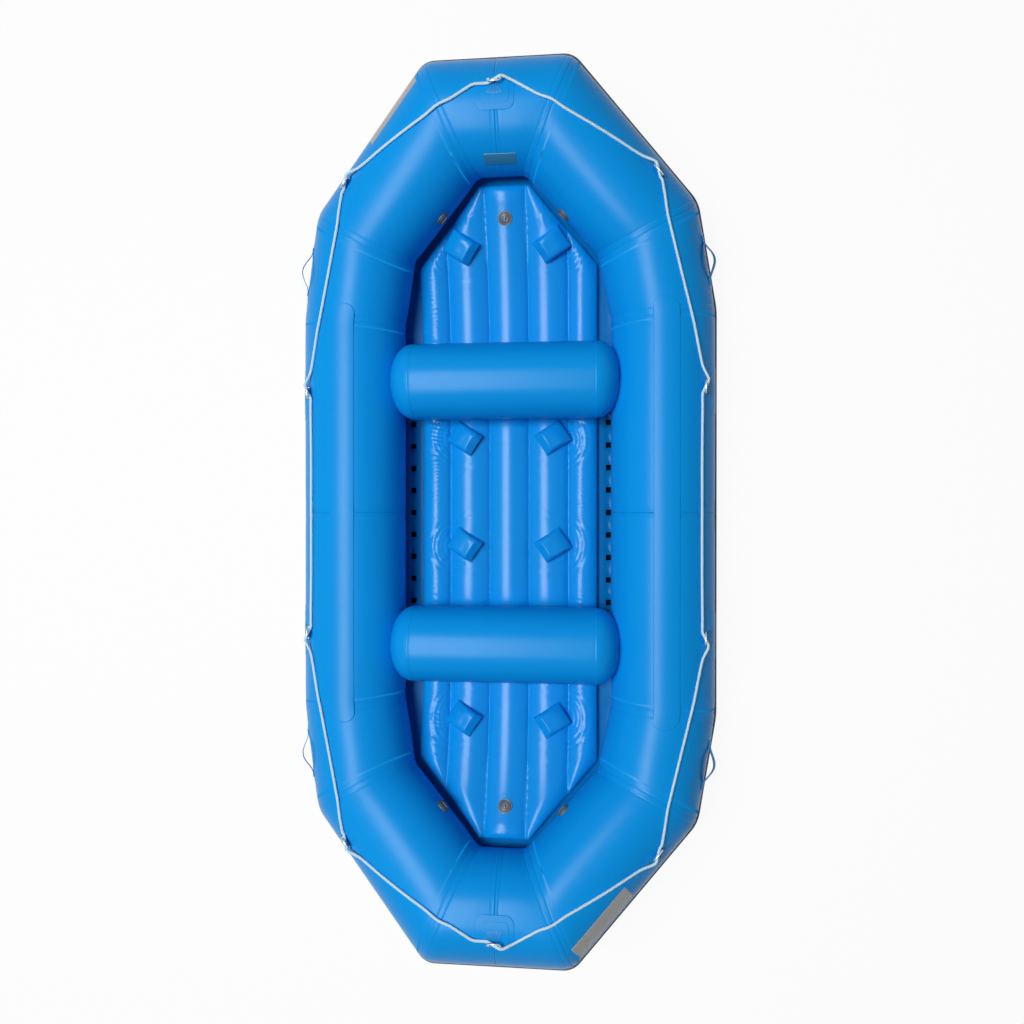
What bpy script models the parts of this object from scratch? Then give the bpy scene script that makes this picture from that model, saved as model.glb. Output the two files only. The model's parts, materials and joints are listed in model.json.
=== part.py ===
"""Whitewater raft, in metres. +Y is the bow, +X is starboard, +Z is up, and the ground is z = 0."""

import math

import bmesh
import bpy
from mathutils import Matrix, Vector

for old in list(bpy.data.objects):
    bpy.data.objects.remove(old)

# Driving sizes of the hull: a tube bent round in straight runs, rising towards both ends.
length = 3.80
tube_radius = 0.227
side_axis_x = 0.697
bend_side_y = 0.87
bend_quarter_x = 0.624
bend_quarter_y = 1.233
bend_quarter_z = 0.293
bend_end_x = 0.206
bend_end_z = 0.459
tube_facets = 64
chamber_edge = 0.006

# Clearance between two pieces that touch.
gap = 0.0003

# Rub strake and its two stripes. A column is one facet of the tube, counted up from its widest line,
# which lies in the middle of a facet, so facet edges fall at halves.
strake_low_columns = -3.5
strake_high_columns = 1.5
strake_edge = 0.0015
strake_thick = 0.004
strake_rib = 0.0065
stripe_thick = 0.001

# Chafe pads on top of the side tubes.
pad_low_columns = 13.5
pad_columns = 5
pad_past_bend = 0.060
pad_thick = 0.002
pad_round = 0.028
pad_round_shares = (1.0, 0.35)

# Thwarts.
thwart_radius = 0.168
thwart_from_axis = 0.185
thwart_y = 0.585
thwart_steps = 40

# Floor: five chambers side by side, the outer two narrower, rising towards both ends.
floor_bottom = 0.015
floor_thick = 0.115
floor_notch = 0.030
floor_chamber = 0.184
floor_side_from_axis = 0.287
floor_end_from_axis = 0.222
floor_rise_before_bend = 0.170
flange_thick = 0.004
drain_hole = 0.030
drain_pitch = 0.105
drain_from_mattress = 0.052
drain_pairs = 7

# Foot cups.
cup_half = 0.056
cup_reach = 0.068
cup_height = 0.056
cup_toe_height = 0.014
cup_wall = 0.003
cup_turn = 57.0
cup_x = 0.205
cup_sink = 0.007
cup_bow_y = 1.205
cup_fore_y = 0.345
cup_mid_y = 0.150
cup_stern_y = 0.955

# Grab handles.
handle_half_length = 0.105
handle_rise = 0.026
handle_thick = 0.0025
handle_low_column = 2.5
handle_columns = 2

# D rings, the sleeves that they turn in and their patches.
ring_wire = 0.003
ring_half_width = 0.029
ring_arm = 0.012
ring_tilt = 40.0
sleeve_clearance = 0.0003
sleeve_wall = 0.0023
sleeve_sink = 0.0009
sleeve_end_gap = 0.004
patch_thick = 0.002
side_patch_half = 0.115
quarter_patch_half = 0.046
end_patch_half = 0.084
side_ring_y = 0.53
quarter_ring_from_bend = 0.156

# Perimeter line, and its route past each ring.
line_radius = 0.006
line_rest = 0.0064
line_lead = 0.085
line_under_out = 0.0210
line_under_high = 0.0088
line_middle_out = 0.0142
line_middle_high = 0.0190
line_over_out = 0.0074
line_over_high = 0.0293

# Valves: a flanged body and a cap that turns in it.
valve_flange = 0.006
valve_flange_thick = 0.0035
valve_wall = 0.0055
valve_bore = 0.0205
valve_rim = 0.0075
valve_floor = 0.0025
valve_root = 0.006
valve_corner = 0.001
valve_steps = 16
cap_clearance = 0.0005
cap_proud = 0.001
grip_high = 0.004
grip_half = 0.0028
grip_end_gap = 0.003
valve_angle = 168.75
valve_from_bend = 0.300
floor_valve_y = 1.31

# Sizes that follow from them.
column = 2 * math.pi / tube_facets
tube_apothem = tube_radius * math.cos(column / 2)
end_axis_y = length / 2 - tube_radius - strake_rib
joint_gap = 2 * gap
floor_top = floor_bottom + floor_thick
floor_half_width = side_axis_x - floor_side_from_axis
floor_flat_y = bend_side_y - floor_rise_before_bend
floor_risen_y = end_axis_y - floor_end_from_axis
floor_end_rise = bend_end_z - tube_radius
floor_end_y = end_axis_y - tube_radius / 2
thwart_half_length = side_axis_x - thwart_from_axis
thwart_z = floor_top + gap + thwart_radius
drain_x = floor_half_width + drain_from_mattress
sleeve_bore = ring_wire + sleeve_clearance
sleeve_outer = sleeve_bore + sleeve_wall
sleeve_half = ring_half_width - ring_wire - sleeve_end_gap
ring_height = gap + patch_thick + sleeve_outer - sleeve_sink
valve_rim_radius = valve_bore + valve_wall
valve_radius = valve_rim_radius + valve_flange
cap_radius = valve_bore - cap_clearance
cap_top = valve_rim + cap_proud

parts = bpy.data.collections.new("whitewater_raft")
cutters = bpy.data.collections.new("cutters")
for group in (parts, cutters):
    bpy.context.scene.collection.children.link(group)
cutters.hide_render = True

SLOTS = {
    "tube_skin": ((0.0, 0.26, 0.68), 0.35, 0.0),
    "floor_skin": ((0.0, 0.24, 0.64), 0.32, 0.0),
    "webbing": ((0.0, 0.27, 0.66), 0.6, 0.0),
    "strake": ((0.02, 0.02, 0.022), 0.55, 0.0),
    "stripe": ((0.75, 0.72, 0.71), 0.5, 0.0),
    "line": ((0.72, 0.82, 0.90), 0.7, 0.0),
    "ring_steel": ((0.62, 0.63, 0.65), 0.25, 1.0),
    "valve_plastic": ((0.33, 0.35, 0.38), 0.4, 0.0),
}


def new_material(name, slot):
    color, rough, metal = SLOTS[slot]
    made = bpy.data.materials.new(name)
    made.use_nodes = True
    shader = made.node_tree.nodes["Principled BSDF"]
    shader.inputs["Base Color"].default_value = (*color, 1)
    shader.inputs["Roughness"].default_value = rough
    shader.inputs["Metallic"].default_value = metal
    return made


def place(obj, slot):
    """Puts a new object in the parts collection, with a material of its own, or in the cutters."""
    for group in list(obj.users_collection):
        group.objects.unlink(obj)
    if slot is None:
        cutters.objects.link(obj)
        obj.hide_render = True
        obj.display_type = "WIRE"
        return obj
    parts.objects.link(obj)
    obj.data.materials.clear()
    obj.data.materials.append(new_material(obj.name, slot))
    return obj


def from_faces(name, points, faces, slot):
    data = bpy.data.meshes.new(name)
    data.from_pydata([tuple(p) for p in points], [], faces)
    shape = bmesh.new()
    shape.from_mesh(data)
    bmesh.ops.recalc_face_normals(shape, faces=shape.faces)
    if shape.calc_volume(signed=True) < 0:
        bmesh.ops.reverse_faces(shape, faces=shape.faces)
    shape.to_mesh(data)
    shape.free()
    return place(bpy.data.objects.new(name, data), slot)


def loft(name, rings, slot, looped=False):
    """Skins a list of closed rings with as many points each. Its ends are capped unless it's a loop."""
    count = len(rings[0])
    points = [p for ring in rings for p in ring]
    faces = []
    steps = len(rings) if looped else len(rings) - 1
    for i in range(steps):
        a = i * count
        b = (i + 1) % len(rings) * count
        for j in range(count):
            k = (j + 1) % count
            faces.append((a + j, a + k, b + k, b + j))
    if not looped:
        faces.append(tuple(range(count - 1, -1, -1)))
        faces.append(tuple(range((len(rings) - 1) * count, len(rings) * count)))
    return from_faces(name, points, faces, slot)


def settle(obj):
    """Replaces an object's mesh with what its modifiers make of it."""
    bpy.context.view_layer.update()
    graph = bpy.context.evaluated_depsgraph_get()
    made = bpy.data.meshes.new_from_object(obj.evaluated_get(graph))
    obj.modifiers.clear()
    obj.data = made
    return obj


def boolean(obj, others, operation):
    for other in others:
        step = obj.modifiers.new(operation.lower(), "BOOLEAN")
        step.operation = operation
        step.solver = "EXACT"
        step.object = other
    return settle(obj)


def mirrored(point, across, along):
    return Vector((point.x * across, point.y * along, point.z))


# The tube's centreline over one quarter: port side, from the middle of the side to the middle of the bow.
corners = [
    Vector((-side_axis_x, 0, tube_apothem)),
    Vector((-side_axis_x, bend_side_y, tube_apothem)),
    Vector((-bend_quarter_x, bend_quarter_y, bend_quarter_z)),
    Vector((-bend_end_x, end_axis_y, bend_end_z)),
    Vector((0, end_axis_y, bend_end_z)),
]
SIDE, SHOULDER, DIAGONAL, END = range(4)
runs = [(b - a).normalized() for a, b in zip(corners, corners[1:])]
outs = [Vector((-1, 0, 0))]
for before, after in zip(runs, runs[1:]):
    turn = before.rotation_difference(after)
    outs.append(turn @ outs[-1])
ups = [run.cross(out) for run, out in zip(runs, outs)]


def run_length(part):
    return (corners[part + 1] - corners[part]).length


def facet_radius(angle):
    """The facetted tube's own radius at an angle, so that a skin lies parallel to the facets."""
    return tube_apothem / math.cos((angle + column / 2) % column - column / 2)


def normal_at(part, angle):
    return outs[part] * math.cos(angle) + ups[part] * math.sin(angle)


def on_tube(part, along, angle, height):
    base = corners[part] + runs[part] * along
    return base + normal_at(part, angle) * (facet_radius(angle) + height)


def ring_at(part, along, section):
    """Section points, as (angle, height over the facets), on the tube's cross-section at one place."""
    return [on_tube(part, along, angle, height) for angle, height in section]


def mitre_ring(part, section):
    """The same section where one straight run meets the next, in the plane that halves the corner."""
    plane = (runs[part] + runs[part + 1]).normalized()
    ring = []
    for angle, height in section:
        side = normal_at(part, angle) * (facet_radius(angle) + height)
        slide = -side.dot(plane) / runs[part].dot(plane)
        ring.append(corners[part + 1] + side + runs[part] * slide)
    return ring


def quarter_rings(section):
    return [mitre_ring(part, section) for part in (SIDE, SHOULDER, DIAGONAL)]


full_circle = [column * (i + 0.5) for i in range(tube_facets)]


def round_section(height):
    return [(angle, height) for angle in full_circle]


# Air chambers, one for each quarter, with softly rounded ends where two of them meet.
def chamber_rings(extra):
    whole = round_section(extra)
    if extra:
        start = [ring_at(SIDE, -extra, whole)]
        finish = [ring_at(END, run_length(END) + extra, whole)]
        return start + quarter_rings(whole) + finish
    start = []
    finish = []
    for along_share, inset_share in ((0.0, 1.0), (0.3, 0.3), (1.0, 0.0)):
        inner = round_section(-chamber_edge * inset_share)
        along = joint_gap / 2 + chamber_edge * along_share
        start.append(ring_at(SIDE, along, inner))
        finish.append(ring_at(END, run_length(END) - along, inner))
    return start + quarter_rings(whole) + finish[::-1]


QUARTERS = {
    "bow_port": (1, 1),
    "bow_starboard": (-1, 1),
    "stern_port": (1, -1),
    "stern_starboard": (-1, -1),
}


def flip(rings, across, along):
    return [[mirrored(p, across, along) for p in ring] for ring in rings]


tube_cutters = {}
for place_name, (across, along) in QUARTERS.items():
    loft("chamber_" + place_name, flip(chamber_rings(0.0), across, along), "tube_skin")
    tube_cutters[place_name] = loft(
        "cut_tube_" + place_name, flip(chamber_rings(gap), across, along), None
    )


def all_round(name, section, slot):
    """A band that runs round the whole hull: twelve mitred sections, joined into a loop."""
    port_bow = quarter_rings(section)
    starboard_bow = flip(port_bow[::-1], -1, 1)
    starboard_stern = flip(port_bow, -1, -1)
    port_stern = flip(port_bow[::-1], 1, -1)
    rings = port_bow + starboard_bow + starboard_stern + port_stern
    return loft(name, rings, slot, looped=True)


angle_slack = 1e-6


def columns_between(low, high):
    """Every facet edge from one angle to another, ends included."""
    first = math.floor(low / column + 0.5 + angle_slack)
    last = math.ceil(high / column - 0.5 - angle_slack)
    inner = [(i + 0.5) * column for i in range(first, last)]
    return [low] + inner + [high]


strake_low = strake_low_columns * column
strake_high = strake_high_columns * column
strake_span = strake_high - strake_low
top_profile_shares = [
    (0.0, strake_edge),
    (0.03, strake_thick),
    (0.155, strake_thick),
    (0.175, strake_rib),
    (0.2, strake_rib),
    (0.225, strake_rib),
    (0.245, strake_thick),
    (0.4, strake_thick),
    (0.6, strake_thick),
    (0.8, strake_thick),
    (0.835, strake_thick),
    (0.855, strake_rib),
    (0.895, strake_rib),
    (0.915, strake_thick),
    (0.97, strake_thick),
    (1.0, strake_edge),
]
strake_top = [(strake_low + strake_span * share, h) for share, h in top_profile_shares]
strake_bottom = [(angle, gap) for angle in columns_between(strake_low, strake_high)]
all_round("rub_strake", strake_bottom + strake_top[::-1], "strake")

stripe_shares = {"lower": (0.34, 0.51), "upper": (0.63, 0.77)}
stripe_bottom = strake_thick + gap
stripe_top = stripe_bottom + stripe_thick
for stripe_name, (low_share, high_share) in stripe_shares.items():
    stripe_angles = columns_between(
        strake_low + strake_span * low_share, strake_low + strake_span * high_share
    )
    stripe_section = [(angle, stripe_bottom) for angle in stripe_angles]
    stripe_section += [(angle, stripe_top) for angle in stripe_angles[::-1]]
    all_round("strake_stripe_" + stripe_name, stripe_section, "stripe")


# Skins on the tube: strips between facet edges, each with its own start and end along the tube.
def tube_skin(name, spans, height, thick, slot, across=1, along=1):
    """Spans hold (angle, lower end, upper end), where an end is a function from height to a point."""
    rings = []
    for start, finish in spans:
        rings.append([start(height), finish(height), finish(height + thick), start(height + thick)])
    return loft(name, flip(rings, across, along), slot)


def straight_spans(part, middle, first, reaches):
    """One strip between each two facet edges, as long as the reaches say."""
    spans = []
    for i, reach in enumerate(reaches):
        angle = (first + i) * column
        ends = [
            lambda h, a=angle, s=middle - reach: on_tube(part, s, a, h),
            lambda h, a=angle, s=middle + reach: on_tube(part, s, a, h),
        ]
        spans.append(ends)
    return spans


def slab(name, lower, upper, slot):
    """A sheet with a lower and an upper face, each a grid of points in rows, closed by walls all round."""
    rows = len(lower)
    count = len(lower[0])
    points = [p for row in lower + upper for p in row]
    faces = []
    for i in range(rows):
        for j in range(count):
            a = i * count + j
            if i < rows - 1 and j < count - 1:
                for base in (a, a + rows * count):
                    faces.append((base, base + 1, base + count + 1, base + count))
            for wall, step, inside in ((i in (0, rows - 1), 1, j < count - 1), (j in (0, count - 1), count, i < rows - 1)):
                if wall and inside:
                    b = a + rows * count
                    faces.append((a, a + step, b + step, b))
    return from_faces(name, points, faces, slot)


# Chafe pads: they pass the first bend, so each strip has its bend point too.
def chafe_pad(name, across):
    pad_lower = []
    pad_upper = []
    count = pad_columns
    for i in range(count + 1):
        angle = (pad_low_columns + i) * column
        from_edge = min(i, count - i)
        rounding = pad_round_shares[from_edge] if from_edge < len(pad_round_shares) else 0.0
        reach = pad_past_bend - pad_round * rounding
        for height, grid in ((gap, pad_lower), (gap + pad_thick, pad_upper)):
            bend = mitre_ring(SIDE, [(angle, height)])[0]
            tip = on_tube(SHOULDER, reach, angle, height)
            grid.append([mirrored(tip, 1, -1), mirrored(bend, 1, -1), bend, tip])
    return slab(name, flip(pad_lower, across, 1), flip(pad_upper, across, 1), "tube_skin")


chafe_pad("chafe_pad_port", 1)
chafe_pad("chafe_pad_starboard", -1)

# Thwarts: turned about their own axis, then cut to the side tubes.
def lathe(name, profile, slot, frame, steps):
    """Turns a profile of (radius, height), from its top on the axis down to its foot, about the frame's Z."""
    data = bpy.data.meshes.new(name)
    data.from_pydata([(r, 0, z) for r, z in profile], [(i, i + 1) for i in range(len(profile) - 1)], [])
    obj = place(bpy.data.objects.new(name, data), slot)
    turned = obj.modifiers.new("turn", "SCREW")
    turned.axis = "Z"
    turned.steps = steps
    turned.render_steps = steps
    turned.use_merge_vertices = True
    turned.merge_threshold = 1e-5
    settle(obj)
    obj.matrix_world = frame
    return obj


thwart_end_shares = ((1.0, 0.0), (0.988, 0.36), (0.955, 0.66), (0.905, 0.87), (0.82, 1.0))
for thwart_name, side in (("bow", 1), ("stern", -1)):
    upper = [(thwart_radius * out, thwart_half_length * along) for along, out in thwart_end_shares]
    profile = upper + [(r, -z) for r, z in upper[::-1]]
    frame = Matrix.Translation((0, side * thwart_y, thwart_z)) @ Matrix.Rotation(math.pi / 2, 4, "Y")
    thwart = lathe("thwart_" + thwart_name, profile, "tube_skin", frame, thwart_steps)
    ends = [tube_cutters[f"{thwart_name}_{side_name}"] for side_name in ("port", "starboard")]
    boolean(thwart, ends, "DIFFERENCE")


# Floor mattress: a lobed section swept lengthwise, then trimmed to the hull's inside.
def rocker(y):
    share = max(0.0, abs(y) - floor_flat_y) / (floor_risen_y - floor_flat_y)
    return floor_end_rise * share**2


def rocker_slope(y):
    span = floor_risen_y - floor_flat_y
    slope = 2 * floor_end_rise * max(0.0, abs(y) - floor_flat_y) / span**2
    return math.copysign(slope, y)


inner_edge = floor_chamber / 2
outer_edge = inner_edge + floor_chamber
lobe_edges = [-floor_half_width, -outer_edge, -inner_edge, inner_edge, outer_edge, floor_half_width]
lobe_shares = (-1.0, -0.86, -0.5, 0.0, 0.5, 0.86)


def floor_profile():
    """(x, drop from the crest) across the five chambers."""
    profile = []
    for left, right in zip(lobe_edges, lobe_edges[1:]):
        middle = (left + right) / 2
        half = (right - left) / 2
        for share in lobe_shares:
            profile.append((middle + half * share, floor_notch * (1 - math.sqrt(1 - share**2))))
    profile.append((floor_half_width, floor_notch))
    return profile


floor_station_shares = (0.0, 0.3, 0.449, 0.52, 0.59, 0.66, 0.73, 0.8, 0.87, 0.935, 1.0)
floor_stations = [-floor_end_y * share for share in floor_station_shares[:0:-1]]
floor_stations += [floor_end_y * share for share in floor_station_shares]


def floor_shape(name, slot, extra):
    rings = []
    for y in floor_stations:
        rise = rocker(y)
        top = [
            Vector((x, y, rise + floor_top - drop + extra)) for x, drop in floor_profile()
        ]
        bottom = [
            Vector((x, y, rise + floor_bottom + drop - extra)) for x, drop in floor_profile()
        ]
        rings.append(top + bottom[::-1])
    return loft(name, rings, slot)


def inset_outline(side_x, inward):
    """Corners of a line that keeps its distance from the tube's centreline, over the whole plan."""
    cosine = {}
    for part in (SHOULDER, DIAGONAL, END):
        flat = Vector((runs[part].x, runs[part].y, 0)).normalized()
        cosine[part] = Vector((flat.y, -flat.x, 0))
    lines = []
    for part in (DIAGONAL, END):
        lines.append((corners[part] + cosine[part] * inward, cosine[part]))
    (pa, na), (pb, nb) = lines
    determinant = na.x * nb.y - na.y * nb.x
    ca = pa.x * na.x + pa.y * na.y
    cb = pb.x * nb.x + pb.y * nb.y
    meet = ((ca * nb.y - cb * na.y) / determinant, (na.x * cb - nb.x * ca) / determinant)
    low_y = (ca + side_x * na.x) / na.y
    quarter = [(-side_x, low_y), meet]
    outline = quarter + [(-x, y) for x, y in quarter[::-1]]
    outline += [(-x, -y) for x, y in quarter]
    outline += [(x, -y) for x, y in quarter[::-1]]
    return outline


def prism(name, outline, low, high):
    rings = [[Vector((x, y, z)) for x, y in outline] for z in (low, high)]
    return loft(name, rings, None)


prism_high = 2 * bend_end_z
prism_low = -bend_end_z
floor_trim = prism("cut_floor_trim", inset_outline(side_axis_x, floor_end_from_axis), prism_low, prism_high)
mattress = floor_shape("floor_mattress", "floor_skin", 0.0)
boolean(mattress, [floor_trim], "INTERSECT")

# Floor flange: a thin strip from the mattress to the tubes, with a row of drain holes on each side.
mattress_room = floor_shape("cut_mattress", None, gap)
flange_room = prism(
    "cut_flange_room",
    inset_outline(floor_half_width + gap, floor_end_from_axis - gap),
    prism_low,
    prism_high,
)
centre_outline = inset_outline(side_axis_x, 0.0)
flange_trim = prism("cut_flange_trim", centre_outline, prism_low, prism_high)
flange_rings = []
flange_middle = floor_bottom + floor_thick / 2
flange_reach = side_axis_x + gap
for y in [-end_axis_y] + floor_stations[1:-1] + [end_axis_y]:
    low = rocker(y) + flange_middle - flange_thick / 2
    high = low + flange_thick
    flange_rings.append(
        [
            Vector((-flange_reach, y, low)),
            Vector((flange_reach, y, low)),
            Vector((flange_reach, y, high)),
            Vector((-flange_reach, y, high)),
        ]
    )
flange = loft("floor_flange", flange_rings, "floor_skin")
holes = bmesh.new()
for side in (1, -1):
    for i in range(-drain_pairs, drain_pairs + 1):
        where = Matrix.Translation((side * drain_x, i * drain_pitch, floor_top / 2))
        size = Matrix.Diagonal((drain_hole, drain_hole, floor_top, 1))
        bmesh.ops.create_cube(holes, size=1, matrix=where @ size)
hole_data = bpy.data.meshes.new("cut_drain_holes")
holes.to_mesh(hole_data)
holes.free()
drain_cutter = place(bpy.data.objects.new("cut_drain_holes", hole_data), None)
boolean(flange, [flange_trim], "INTERSECT")
boolean(flange, [flange_room, *tube_cutters.values(), drain_cutter], "DIFFERENCE")

# Foot cups: a folded pocket with a drooping lip, open towards the middle and the stern.
cup_side_shares = ((1.0, 0.0), (0.97, 0.60), (0.84, 0.93), (0.35, 1.0))
cup_length_shares = (-1.0, -0.56, 0.25, 1.0)
cup_height_shares = (0.38, 1.0, 0.64, 0.0)


def cup_loop(half, base, height):
    side = [(half * out, base + height * up) for out, up in cup_side_shares]
    return side + [(-u, w) for u, w in side[::-1]]


def foot_cup(name, side, y):
    slope = math.atan(rocker_slope(y))
    frame = (
        Matrix.Translation((side * cup_x, y, rocker(y) + floor_top - cup_sink))
        @ Matrix.Rotation(slope, 4, "X")
        @ Matrix.Rotation(math.radians(-side * cup_turn), 4, "Z")
    )
    rise = cup_height - cup_toe_height
    outer = []
    inner = []
    for along_share, height_share in zip(cup_length_shares, cup_height_shares):
        v = cup_reach * along_share
        height = cup_toe_height + rise * height_share
        outer.append([frame @ Vector((u, v, w)) for u, w in cup_loop(cup_half, 0.0, height)])
        inner.append(
            [
                frame @ Vector((u, v, w))
                for u, w in cup_loop(cup_half - cup_wall, cup_wall, height - 2 * cup_wall)
            ]
        )
    cup = loft(name, outer[::-1] + inner[:-1], "floor_skin")
    return boolean(cup, [mattress_room], "DIFFERENCE")


cups = {"bow": cup_bow_y, "fore": cup_fore_y, "mid": -cup_mid_y, "stern": -cup_stern_y}
for cup_name, y in cups.items():
    for side_name, side in (("port", -1), ("starboard", 1)):
        foot_cup(f"foot_cup_{cup_name}_{side_name}", side, y)

# Grab handles: a strap glued down at both ends and raised in the middle.
handle_shares = (-1.0, -0.82, -0.6, -0.4, -0.15, 0.15, 0.4, 0.6, 0.82, 1.0)
handle_rise_shares = (0.0, 0.0, 0.12, 0.72, 1.0, 1.0, 0.72, 0.12, 0.0, 0.0)
handle_edges = [handle_low_column + i for i in range(handle_columns + 1)]
for place_name, (across, along) in QUARTERS.items():
    rings = []
    for share, rise_share in zip(handle_shares, handle_rise_shares):
        s = run_length(SHOULDER) / 2 + handle_half_length * share
        low = gap + handle_rise * rise_share
        section = [(i * column, low) for i in handle_edges]
        section += [(i * column, low + handle_thick) for i in handle_edges[::-1]]
        rings.append(ring_at(SHOULDER, s, section))
    loft("handle_" + place_name, flip(rings, across, along), "webbing")


# D rings: the facet that each sits on, and its patch's reach along the tube at each facet edge.
side_column = 8
quarter_column = 8
end_column = 11
side_patch_shares = (0.74, 0.94, 1.0, 1.0, 0.94, 0.65, 0.26, 0.245)
quarter_patch_shares = (0.78, 1.0, 0.87, 0.61)
end_patch_shares = (0.60, 0.83, 0.95, 1.0, 1.0, 0.95, 0.81, 0.54)
side_patch = (1.5, [side_patch_half * share for share in side_patch_shares])
quarter_patch = (5.5, [quarter_patch_half * share for share in quarter_patch_shares])
end_patch = (9.5, [end_patch_half * share for share in end_patch_shares])

RINGS = {}
for place_name, (across, along) in QUARTERS.items():
    RINGS["side_" + place_name] = (SIDE, side_ring_y, side_column, side_patch, across, along)
    RINGS["quarter_" + place_name] = (
        DIAGONAL,
        quarter_ring_from_bend,
        quarter_column,
        quarter_patch,
        across,
        along,
    )
RINGS["bow"] = (END, run_length(END), end_column, end_patch, 1, 1)
RINGS["stern"] = (END, run_length(END), end_column, end_patch, 1, -1)

ring_arc_steps = 8
ring_corner_share = 0.12


def ring_frame(part, s, columns, across, along):
    """Bar centre, and the directions along the bar, along the ring and off the tube."""
    angle = columns * column
    off = normal_at(part, angle)
    climb = ups[part] * math.cos(angle) - outs[part] * math.sin(angle)
    tilt = math.radians(ring_tilt)
    reach = climb * math.cos(tilt) + off * math.sin(tilt)
    surface = corners[part] + runs[part] * s + off * facet_radius(angle)
    centre = surface + off * ring_height
    turn = [mirrored(v, across, along) for v in (centre, runs[part], reach, off, climb, surface)]
    return turn


def tube_between(name, start, end, radius, sides, slot):
    """A plain cylinder from one point to another."""
    axis = end - start
    shape = bmesh.new()
    bmesh.ops.create_cone(
        shape, cap_ends=True, segments=sides, radius1=radius, radius2=radius, depth=axis.length
    )
    data = bpy.data.meshes.new(name)
    shape.to_mesh(data)
    shape.free()
    turn = axis.to_track_quat("Z", "Y").to_matrix().to_4x4()
    data.transform(Matrix.Translation((start + end) / 2) @ turn)
    return place(bpy.data.objects.new(name, data), slot)


def bent_wire(name, points, radius, slot, resolution, cyclic=True):
    data = bpy.data.curves.new(name, "CURVE")
    data.dimensions = "3D"
    data.bevel_depth = radius
    data.bevel_resolution = resolution
    data.use_fill_caps = not cyclic
    spline = data.splines.new("POLY")
    spline.points.add(len(points) - 1)
    for point, where in zip(spline.points, points):
        point.co = (*where, 1)
    spline.use_cyclic_u = cyclic
    return place(bpy.data.objects.new(name, data), slot)


sleeve_sides = 12
wire_sides = 2
for ring_name, (part, s, columns, patch, across, along) in RINGS.items():
    centre, bar, reach, off, climb, surface = ring_frame(part, s, columns, across, along)
    first, reaches = patch
    cut_back = ring_half_width * ring_corner_share
    outline = [(-ring_half_width + cut_back, 0.0), (ring_half_width - cut_back, 0.0)]
    outline += [(ring_half_width, cut_back), (ring_half_width, ring_arm)]
    for i in range(1, ring_arc_steps):
        swing = math.pi * i / ring_arc_steps
        outline.append(
            (ring_half_width * math.cos(swing), ring_arm + ring_half_width * math.sin(swing))
        )
    outline += [(-ring_half_width, ring_arm), (-ring_half_width, cut_back)]
    wire = [bar * a + reach * b for a, b in outline]
    ring = bent_wire("d_ring_" + ring_name, wire, ring_wire, "ring_steel", wire_sides)
    ring.location = centre
    if part == END:
        rings = []
        for i, half in enumerate(reaches):
            near, top = [
                on_tube(END, run_length(END) - half, (first + i) * column, h)
                for h in (gap, gap + patch_thick)
            ]
            rings.append([near, mirrored(near, -1, 1), mirrored(top, -1, 1), top])
        plate = loft("ring_patch_" + ring_name, flip(rings, 1, along), "webbing")
    else:
        plate = tube_skin(
            "ring_patch_" + ring_name,
            straight_spans(part, s, first, reaches),
            gap,
            patch_thick,
            "webbing",
            across,
            along,
        )
    sleeve = tube_between(
        "cut_sleeve_" + ring_name,
        centre - bar * sleeve_half,
        centre + bar * sleeve_half,
        sleeve_outer,
        sleeve_sides,
        None,
    )
    bore = tube_between(
        "cut_bore_" + ring_name,
        centre - bar * ring_half_width,
        centre + bar * ring_half_width,
        sleeve_bore,
        sleeve_sides,
        None,
    )
    boolean(plate, [sleeve], "UNION")
    boolean(plate, [bore], "DIFFERENCE")


# Perimeter line: one closed cord, laced under one arm of each ring and over the other.
def through_ring(name):
    """Points through one ring, from its under side to its over side along the bar."""
    part, s, columns, patch, across, along = RINGS[name]
    centre, bar, reach, off, climb, surface = ring_frame(part, s, columns, 1, 1)
    arm = ring_half_width
    rest = climb * line_under_out + off * (line_rest + patch_thick)
    under = climb * line_under_out + off * line_under_high
    over = climb * line_over_out + off * line_over_high
    return [
        surface - bar * line_lead + rest,
        surface - bar * (arm + line_under_out / 2) + under,
        surface - bar * (arm - ring_wire) + under,
        surface + climb * line_middle_out + off * line_middle_high,
        surface + bar * (arm - ring_wire) + over,
        surface + bar * (arm + line_under_out / 2) + over - off * ring_wire,
        surface + bar * line_lead + rest,
    ]


def line_on_tube(part, s, columns):
    angle = columns * column
    base = corners[part] + runs[part] * s
    return base + normal_at(part, angle) * (tube_radius + line_rest)


def line_at_bend(part, columns):
    angle = columns * column
    height = line_rest + tube_radius - facet_radius(angle)
    return mitre_ring(part, [(angle, height)])[0]


line_columns = {
    "side": 8.9,
    "first bend": 11.7,
    "second bend": 12.9,
    "quarter": 8.9,
    "last bend": 15.0,
    "end": 11.9,
}
line_steps = {"side": 3, "shoulder": 2, "diagonal foot": 4, "diagonal": 7, "end": 3}


def between(a, b, share):
    return a + (b - a) * share


def line_run(part, from_share, to_share, steps, from_column, to_column):
    """Points along one straight run of the tube, drifting from one angle to another."""
    points = []
    for i in range(steps):
        share = between(from_share, to_share, (i + 1) / (steps + 1))
        drift = between(from_column, to_column, (share - from_share) / (to_share - from_share))
        points.append(line_on_tube(part, run_length(part) * share, drift))
    return points


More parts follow.
